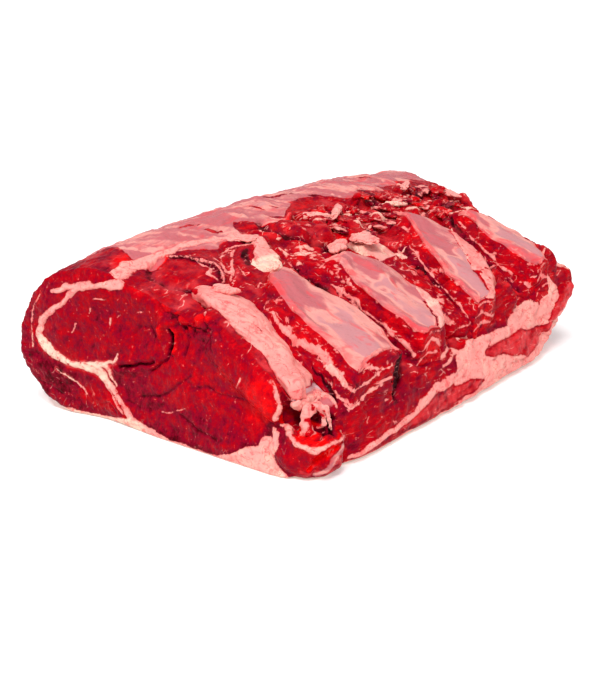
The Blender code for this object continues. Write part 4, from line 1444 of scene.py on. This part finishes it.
def curl_shape(curl):
    """A closed tapering tube along a smooth line through a curl's stops."""
    places = np.arange(len(curl.stops))
    spots = np.linspace(0, len(curl.stops) - 1, CURL_RINGS)
    across, out, z, radius = eased(curl.stops, places, spots, CURL_ROUNDS).T
    x = CORNER[0] + across * CORNER_ACROSS[0] + out * CORNER_ACROSS[1]
    y = CORNER[1] + across * CORNER_ACROSS[1] - out * CORNER_ACROSS[0]
    centres = np.stack((x, y, z), axis=1)
    run = np.gradient(centres, axis=0)
    run /= np.linalg.norm(run, axis=1, keepdims=True)
    side = np.cross(run, np.array((CORNER_ACROSS[1], -CORNER_ACROSS[0], 0.0)))
    side /= np.linalg.norm(side, axis=1, keepdims=True)
    lift = np.cross(side, run)
    angles = np.linspace(0, 2 * math.pi, CURL_SIDES, endpoint=False)
    ends = np.sqrt(np.clip(1 - np.abs(np.linspace(-1, 1, CURL_RINGS)) ** 10, 0.0, 1))
    reach = (radius * ends)[:, None, None]
    ring = side[:, None] * np.cos(angles)[None, :, None]
    ring = ring + lift[:, None] * np.sin(angles)[None, :, None] * curl.flatness
    points = (centres[:, None] + reach * ring).reshape(-1, 3)
    points = np.concatenate((points[CURL_SIDES:-CURL_SIDES], centres[:1], centres[-1:]))
    rows = CURL_RINGS - 2
    first, last = rows * CURL_SIDES, rows * CURL_SIDES + 1
    faces = []
    for step in range(CURL_SIDES):
        beside = (step + 1) % CURL_SIDES
        faces.append((first, beside, step))
        base = (rows - 1) * CURL_SIDES
        faces.append((last, base + step, base + beside))
        for row in range(rows - 1):
            here, there = row * CURL_SIDES, (row + 1) * CURL_SIDES
            faces.append((here + step, here + beside, there + beside))
            faces.append((here + step, there + beside, there + step))
    return points, np.array(faces)


def make_curls(material):
    """The curls of fat at the near right corner, in one piece."""
    piece = new_piece("fat_curls", joined_mesh("fat_curls", [curl_shape(curl) for curl in CURLS]))
    edit_all(piece, bpy.ops.mesh.normals_make_consistent, inside=False)
    points = loosened(coordinates(piece.data), ((0.0016, 0.006, 434), (0.0007, 0.0024, 437)))
    rise = 0.0006 * noise(points, 0.0045, 431) + 0.0004 * noise(points, 0.0022, 432)
    patches = noise(points, 0.005, 433)
    none = np.zeros(len(points))
    look = Look(0.0014 + 0.004 * patches, none + ABSENT, none + 0.4, 0.05 + 0.5 * patches, rise, none)
    finish_piece(piece, points, look, material, vertex_normals(piece.data))


# ---------------------------------------------------------------- materials


class Graph:
    """A short way to build a material's nodes."""

    def __init__(self, name):
        self.material = bpy.data.materials.new(name)
        self.material.use_nodes = True
        self.nodes = self.material.node_tree.nodes
        self.links = self.material.node_tree.links
        self.shader = self.nodes["Principled BSDF"]
        self.place = self.nodes.new("ShaderNodeTexCoord").outputs["Object"]

    def put(self, socket, value):
        """Links a socket, or sets its value."""
        if isinstance(value, bpy.types.NodeSocket):
            self.links.new(value, socket)
        else:
            socket.default_value = value

    def math(self, operation, first, second=0.0):
        """The result of a sum on two values."""
        node = self.nodes.new("ShaderNodeMath")
        node.operation = operation
        self.put(node.inputs[0], first)
        self.put(node.inputs[1], second)
        return node.outputs[0]

    def add(self, first, second):
        return self.math("ADD", first, second)

    def times(self, first, second):
        return self.math("MULTIPLY", first, second)

    def uneven(self, value, *spreads):
        """A value with noises added to it, each given with its reach to either side."""
        for fac, reach in spreads:
            value = self.add(value, self.times(self.math("SUBTRACT", fac, 0.5), 2 * reach))
        return value

    def line(self, fac, wide, narrow):
        """1 along the middle of a noise and 0 away from it."""
        return self.step(self.math("ABSOLUTE", self.math("SUBTRACT", fac, 0.5)), wide, narrow)

    def stretched(self, scale, turn=(0.0, 0.0, 0.0)):
        """The place on the piece, scaled and turned."""
        node = self.nodes.new("ShaderNodeMapping")
        self.put(node.inputs["Vector"], self.place)
        node.inputs["Scale"].default_value = scale
        node.inputs["Rotation"].default_value = turn
        return node.outputs["Vector"]

    def noise(self, scale, detail=2.0, rough=0.5, distortion=0.0, place=None):
        """Noise around 0.5 at the place on the piece."""
        node = self.nodes.new("ShaderNodeTexNoise")
        self.put(node.inputs["Vector"], place or self.place)
        node.inputs["Scale"].default_value = scale
        node.inputs["Detail"].default_value = detail
        node.inputs["Roughness"].default_value = rough
        node.inputs["Distortion"].default_value = distortion
        return node.outputs["Fac"]

    def cells(self, scale, place):
        """A number from 0 to 1 for every bundle of fibres."""
        node = self.nodes.new("ShaderNodeTexVoronoi")
        self.put(node.inputs["Vector"], place)
        node.inputs["Scale"].default_value = scale
        return node.outputs["Color"]

    def attribute(self, name):
        """A number stored on the piece's vertices."""
        node = self.nodes.new("ShaderNodeAttribute")
        node.attribute_name = name
        return node.outputs["Fac"]

    def step(self, value, low, high, bottom=0.0, top=1.0):
        """A value eased from bottom at low to top at high."""
        node = self.nodes.new("ShaderNodeMapRange")
        node.interpolation_type = "SMOOTHSTEP"
        for socket, number in zip(node.inputs, (value, low, high, bottom, top)):
            self.put(socket, number)
        return node.outputs[0]

    def colours(self, fac, stops):
        """A colour from a row of (place, colour) stops."""
        node = self.nodes.new("ShaderNodeValToRGB")
        self.put(node.inputs["Fac"], fac)
        points = node.color_ramp.elements
        while len(points) < len(stops):
            points.new(0.5)
        for point, (place, colour) in zip(points, stops):
            point.position = place
            point.color = (*colour, 1.0)
        return node.outputs["Color"]

    def mix(self, fac, first, second):
        """The first colour where fac is 0, and the second where it is 1."""
        node = self.nodes.new("ShaderNodeMix")
        node.data_type = "RGBA"
        self.put(node.inputs[0], fac)
        for socket, colour in zip((node.inputs[6], node.inputs[7]), (first, second)):
            self.put(socket, colour if isinstance(colour, bpy.types.NodeSocket) else (*colour, 1.0))
        return node.outputs[2]

    def tint(self, base, fac, share, colour):
        """A colour laid over a base where fac is 1, as thickly as its share says."""
        return self.mix(self.times(fac, share), base, colour)


TONE_PLACES = (0.0, 0.14, 0.32, 0.52, 0.78, 1.0)
WET_FINISH = {
    "Specular IOR Level": 0.05,
    "Specular Tint": (1.0, 0.15, 0.15, 1.0),
    "Subsurface Weight": 0.08,
    "Subsurface Radius": (1.0, 0.25, 0.15),
    "Subsurface Scale": 0.002,
    "Coat Weight": 0.045,
    "Coat Roughness": 0.1,
}
BUMP_STRENGTH = 0.6
BUMP_DEPTH = 0.0007


def meat_material(name, colours, grain_scale, grain_turn=(0.0, 0.0, 0.0)):
    """Lean, fat and membrane in one wet finish, told apart by the piece's attributes."""
    graph = Graph(name)
    names = ("fat", "skin", "tone", "cream", "veins")
    fat_in, skin_in, tone_in, cream_in, veins_in = map(graph.attribute, names)
    along = graph.stretched(grain_scale, grain_turn)
    wide, edge, fine = graph.noise(140, 3), graph.noise(330, 3, 0.6), graph.noise(1100, 2)
    grain = graph.noise(520, 3, 0.6, 0.4, along)
    streak = graph.noise(230, 4, 0.65, 0.8, along)
    bundle = graph.cells(430, along)
    fat_depth = graph.uneven(fat_in, (edge, 1.1), (fine, 0.35))
    fat = graph.step(fat_depth, -0.25, 0.35)
    skin = graph.step(graph.uneven(skin_in, (edge, 1.6)), -0.5, 0.9)

    tone = graph.uneven(tone_in, (wide, 0.75), (grain, 0.62), (fine, 0.3), (bundle, 0.16))
    tones = (colours.darkest, colours.dusky, colours.purple, colours.lean, colours.bright, colours.brightest)
    lean = graph.colours(graph.add(graph.times(tone, 0.5), 0.5), tuple(zip(TONE_PLACES, tones)))
    lean = graph.tint(lean, graph.step(grain, 0.665, 0.72), 0.36, colours.pink_fat)
    film = graph.times(graph.step(cream_in, 0.45, 1.0), graph.step(wide, 0.3, 0.62))
    lean = graph.tint(lean, film, 0.55, colours.stain)
    vein = graph.line(graph.noise(120, 2, 0.5, 0.5, along), 0.016, 0.004)
    vein = graph.times(vein, graph.step(wide, 0.52, 0.62))
    lean = graph.tint(lean, vein, veins_in, colours.pink_fat)

    creamy = graph.step(graph.uneven(cream_in, (wide, 0.5)), 0.1, 0.9)
    pale = graph.mix(creamy, colours.pink_fat, colours.cream_fat)
    pale = graph.tint(pale, graph.step(graph.noise(210, 4, 0.65, 0.6), 0.5, 0.68), 0.6, colours.stain)
    thread = graph.times(graph.line(graph.noise(95, 4, 0.6, 0.8), 0.016, 0.003), graph.step(wide, 0.4, 0.54))
    pale = graph.tint(pale, thread, 0.75, colours.stain)
    pale = graph.tint(pale, graph.step(cream_in, 0.0, -1.0), 0.55, colours.stain)
    pale = graph.tint(pale, graph.step(fat_depth, 1.3, 0.1), 0.35, colours.stain)

    sheet = graph.uneven(graph.noise(55, 3, 0.55, 0.3, along), (streak, 0.32))
    paleness = graph.uneven(cream_in, (sheet, 0.9))
    veil = graph.mix(graph.step(paleness, 0.1, 0.9), colours.membrane, colours.pale_membrane)
    veil = graph.mix(graph.step(paleness, 0.95, 1.6, 0.0, 0.95), veil, colours.grey_membrane)
    # The palest membrane takes the silver colour: the membrane's own pale grey-lilac, partly a painted sheen.
    veil = graph.mix(graph.step(paleness, 2.1, 2.6, 0.0, 0.9), veil, colours.silver_sheen)
    veil = graph.tint(veil, graph.step(graph.noise(120, 3, 0.6, 0.8, along), 0.55, 0.68), 0.55, colours.stain)
    veil = graph.tint(veil, graph.step(graph.uneven(tone_in, (wide, 0.8)), 0.25, 1.1), 0.65, colours.stain)
    crease = graph.step(graph.noise(150, 5, 0.7, 0.5, along), 0.48, 0.62)
    veil = graph.tint(veil, crease, graph.step(veins_in, 0.4, 0.0, 0.0, 0.7), colours.membrane)
    cover = graph.times(skin, graph.step(streak, 0.25, 0.5, 0.84, 0.97))
    colour = graph.mix(fat, graph.mix(cover, lean, veil), pale)

    rough = graph.add(graph.times(fat, 0.1), graph.step(edge, 0.3, 0.7, 0.28, 0.46))
    rough = graph.add(rough, graph.times(skin, -0.04))
    shader = graph.shader
    graph.put(shader.inputs["Base Color"], colour)
    graph.put(shader.inputs["Roughness"], rough)
    for socket, value in WET_FINISH.items():
        shader.inputs[socket].default_value = value
    height = graph.add(graph.times(fine, 0.5), graph.times(grain, 1.1))
    height = graph.add(height, graph.times(bundle, 0.25))
    height = graph.add(graph.times(height, graph.step(skin, 0.0, 1.0, 1.0, 0.35)), graph.times(fat, 0.5))
    bump = graph.nodes.new("ShaderNodeBump")
    bump.inputs["Strength"].default_value = BUMP_STRENGTH
    bump.inputs["Distance"].default_value = BUMP_DEPTH
    graph.put(bump.inputs["Height"], height)
    graph.put(shader.inputs["Normal"], bump.outputs["Normal"])
    return graph.material


def plain_material(name, colour, roughness):
    """A finish of one colour, a little uneven."""
    graph = Graph(name)
    shade = graph.noise(3, 2)
    graph.put(graph.shader.inputs["Base Color"], graph.mix(shade, colour, [0.985 * part for part in colour]))
    graph.shader.inputs["Roughness"].default_value = roughness
    return graph.material


# ---------------------------------------------------------------- settings


def colour_setting(name, description, default):
    """A colour that a user can change."""
    return bpy.props.FloatVectorProperty(
        name=name, description=description, default=default, subtype="COLOR", size=3, min=0.0, max=1.0
    )


class RoastColours(bpy.types.PropertyGroup):
    """The colours of the meat, the fat and the membrane"""

    # The darkest and dusky colours also serve as painted shade: the tone falls to them in clefts, creases,
    # holes and gaps.
    darkest: colour_setting("Darkest meat", "Meat in clefts and old cuts", (0.03, 0.0, 0.002))
    dusky: colour_setting("Dusky meat", "Meat in shallow clefts", (0.1, 0.0, 0.005))
    purple: colour_setting("Purple meat", "Meat that has had no air", (0.21, 0.001, 0.015))
    lean: colour_setting("Lean meat", "The usual colour of the meat", (0.33, 0.0, 0.006))
    bright: colour_setting("Bright meat", "Fresh, wet meat", (0.54, 0.001, 0.005))
    brightest: colour_setting("Brightest meat", "Thin wet edges", (0.8, 0.002, 0.002))
    pink_fat: colour_setting("Pink fat", "Fat with some blood in it", (0.84, 0.31, 0.275))
    cream_fat: colour_setting("Cream fat", "Thick clean fat", (0.84, 0.58, 0.45))
    stain: colour_setting("Stained fat", "Blood on fat and membrane", (0.72, 0.06, 0.07))
    membrane: colour_setting("Membrane", "The glossy skin over the muscles", (0.5, 0.13, 0.145))
    grey_membrane: colour_setting("Grey membrane", "Where that skin is stretched thin", (0.52, 0.215, 0.23))
    # Silver membrane is partly painted sheen: the pale grey-lilac of shining membrane, laid over the
    # membrane's own pale colour.
    silver_sheen: colour_setting("Silver membrane", "Where that skin is dry", (0.6, 0.36, 0.39))
    pale_membrane: colour_setting("Pale membrane", "Where that skin is thick", (0.77, 0.31, 0.27))


class RoastSizes(bpy.types.PropertyGroup):
    """Where the camera stands"""

    camera_angle: bpy.props.FloatProperty(
        name="Camera angle", description="How far the camera stands round to the right",
        default=math.radians(37.09), subtype="ANGLE", unit="ROTATION",
    )
    camera_height: bpy.props.FloatProperty(
        name="Camera height", description="The angle the camera looks down at",
        default=math.radians(20.0), subtype="ANGLE", unit="ROTATION",
    )
    camera_distance: bpy.props.FloatProperty(
        name="Camera distance", description="From the camera to the point it looks at",
        default=0.897, subtype="DISTANCE", unit="LENGTH",
    )


# How each finish is stretched along its fibres, and how it is turned.
MATERIALS = {
    "cut_meat": ((1.0, 0.25, 0.75),),
    "long_meat": ((1.0, 0.22, 1.0),),
    "bar_meat": ((0.3, 1.0, 1.0), (0.0, 0.0, math.radians(14))),
}


def material_named(name):
    """One of the roast's materials, made the first time it is asked for."""
    if name in bpy.data.materials:
        return bpy.data.materials[name]
    return meat_material(name, bpy.context.scene.roast_colours, *MATERIALS[name])


# ---------------------------------------------------------------- operators


class ROAST_OT_chunks(bpy.types.Operator):
    """Model the roast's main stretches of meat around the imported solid"""

    bl_idname = "roast.chunks"
    bl_label = "Meat"

    def execute(self, context):
        for name, chunk in CHUNKS.items():
            make_chunk(name, chunk, material_named("cut_meat" if name == "cut_end" else "long_meat"))
        return {"FINISHED"}


class ROAST_OT_bars(bpy.types.Operator):
    """Model the strip of fat and the bars of rib meat"""

    bl_idname = "roast.bars"
    bl_label = "Bars of rib meat"

    def execute(self, context):
        for name, finger in FINGERS.items():
            make_finger(name, finger, material_named("bar_meat"))
        make_strip(material_named("bar_meat"))
        return {"FINISHED"}


class ROAST_OT_trimmings(bpy.types.Operator):
    """Model the torn scraps, the tags of fat and the curls of fat at the near right corner"""

    bl_idname = "roast.trimmings"
    bl_label = "Scraps and tags"

    def execute(self, context):
        material = material_named("cut_meat")
        make_lumps("torn_scraps", scrap_lumps(), material, SCRAP_DETAIL)
        make_lumps("fat_tags", FAT_TAGS, material, TAG_DETAIL)
        make_lumps("fat_leaves", FAT_LEAVES, material, TAG_DETAIL, first_seed=len(FAT_TAGS))
        make_curls(material)
        return {"FINISHED"}


FLOOR_SIZE = 30.0
FLOOR_DROP = 0.0002
FLOOR_COLOUR = (0.93, 0.93, 0.93)
FLOOR_ROUGHNESS = 0.6
FLOOR_GLOW = 0.16
SKY_STRENGTH = 0.54
CAMERA_TARGET = Vector((0.023, -0.0807, 0.04))
LENS = 74.12
SENSOR = 36.0
# Suns as (towards, strength, width in degrees), and small lamps for the glints as (place, power).
SUNS = {"key_sun": ((0.22, -0.42, 0.88), 2.0, 22), "fill_sun": ((-0.8, -0.3, 0.52), 0.3, 60)}
GLINTS = {"glint_light": ((-0.25, -0.75, 1.1), 4.0), "side_glint_light": ((0.85, -0.55, 0.75), 2.5)}
GLINT_SIZE = 0.07
GLINT_TARGET = Vector((0, 0, 0.05))


def add_lamp(name, kind, energy, back):
    """A lamp that shines against the way back to it."""
    light = bpy.data.lights.new(name, kind)
    light.energy = energy
    lamp = bpy.data.objects.new(name, light)
    lamp.rotation_euler = back.to_track_quat("Z", "Y").to_euler()
    bpy.context.scene.collection.objects.link(lamp)
    return lamp


class ROAST_OT_stage(bpy.types.Operator):
    """Add the floor, the lights and the camera"""

    bl_idname = "roast.stage"
    bl_label = "Stage"

    def execute(self, context):
        scene = context.scene
        sizes = scene.roast_sizes
        deselect_all()
        bpy.ops.mesh.primitive_plane_add(size=FLOOR_SIZE, location=(0, 0, -FLOOR_DROP))
        floor = context.object
        floor.name = "floor"
        bpy.ops.object.transform_apply(location=True)
        floor.data.materials.append(plain_material("pale_floor", FLOOR_COLOUR, FLOOR_ROUGHNESS))
        glow = floor.data.materials[0].node_tree.nodes["Principled BSDF"]
        glow.inputs["Emission Color"].default_value = (1.0, 1.0, 1.0, 1.0)
        glow.inputs["Emission Strength"].default_value = FLOOR_GLOW

        angle, height = sizes.camera_angle, sizes.camera_height
        level = math.cos(height)
        back = Vector((math.sin(angle) * level, -math.cos(angle) * level, math.sin(height)))
        camera = bpy.data.objects.new("camera", bpy.data.cameras.new("camera"))
        camera.data.lens = LENS
        camera.data.sensor_width = camera.data.sensor_height = SENSOR
        camera.location = CAMERA_TARGET + back * sizes.camera_distance
        camera.rotation_euler = back.to_track_quat("Z", "Y").to_euler()
        scene.collection.objects.link(camera)
        scene.camera = camera

        for name, (towards, strength, width) in SUNS.items():
            sun = add_lamp(name, "SUN", strength, Vector(towards))
            sun.data.angle = math.radians(width)
            sun.visible_glossy = False
        for name, (place, power) in GLINTS.items():
            lamp = add_lamp(name, "AREA", power, Vector(place) - GLINT_TARGET)
            lamp.location = place
            lamp.data.shape = "DISK"
            lamp.data.size = GLINT_SIZE
        world = bpy.data.worlds.new("studio")
        scene.world = world
        world.use_nodes = True
        sky = world.node_tree.nodes["Background"]
        sky.inputs["Color"].default_value = (1.0, 1.0, 1.0, 1.0)
        sky.inputs["Strength"].default_value = SKY_STRENGTH
        scene.view_settings.view_transform = "Standard"
        return {"FINISHED"}


class ROAST_PT_panel(bpy.types.Panel):
    """Everything that builds the roast"""

    bl_label = "Roast"
    bl_idname = "ROAST_PT_panel"
    bl_space_type = "VIEW_3D"
    bl_region_type = "UI"
    bl_category = "Roast"

    def draw(self, context):
        for group in (context.scene.roast_sizes, context.scene.roast_colours):
            for name in group.__annotations__:
                self.layout.prop(group, name)
        for operator in OPERATORS:
            self.layout.operator(operator.bl_idname)


OPERATORS = (ROAST_OT_chunks, ROAST_OT_bars, ROAST_OT_trimmings, ROAST_OT_stage)
CLASSES = (RoastColours, RoastSizes, *OPERATORS, ROAST_PT_panel)


def register():
    """Adds the settings, the operators and the panel."""
    for made in CLASSES:
        bpy.utils.register_class(made)
    bpy.types.Scene.roast_colours = bpy.props.PointerProperty(type=RoastColours)
    bpy.types.Scene.roast_sizes = bpy.props.PointerProperty(type=RoastSizes)


def unregister():
    """Takes them away again."""
    del bpy.types.Scene.roast_sizes
    del bpy.types.Scene.roast_colours
    for made in reversed(CLASSES):
        bpy.utils.unregister_class(made)


def main():
    """Builds the roast and its stage."""
    register()
    bpy.ops.roast.chunks()
    bpy.ops.roast.bars()
    bpy.ops.roast.trimmings()
    bpy.ops.roast.stage()


if __name__ == "__main__":
    main()
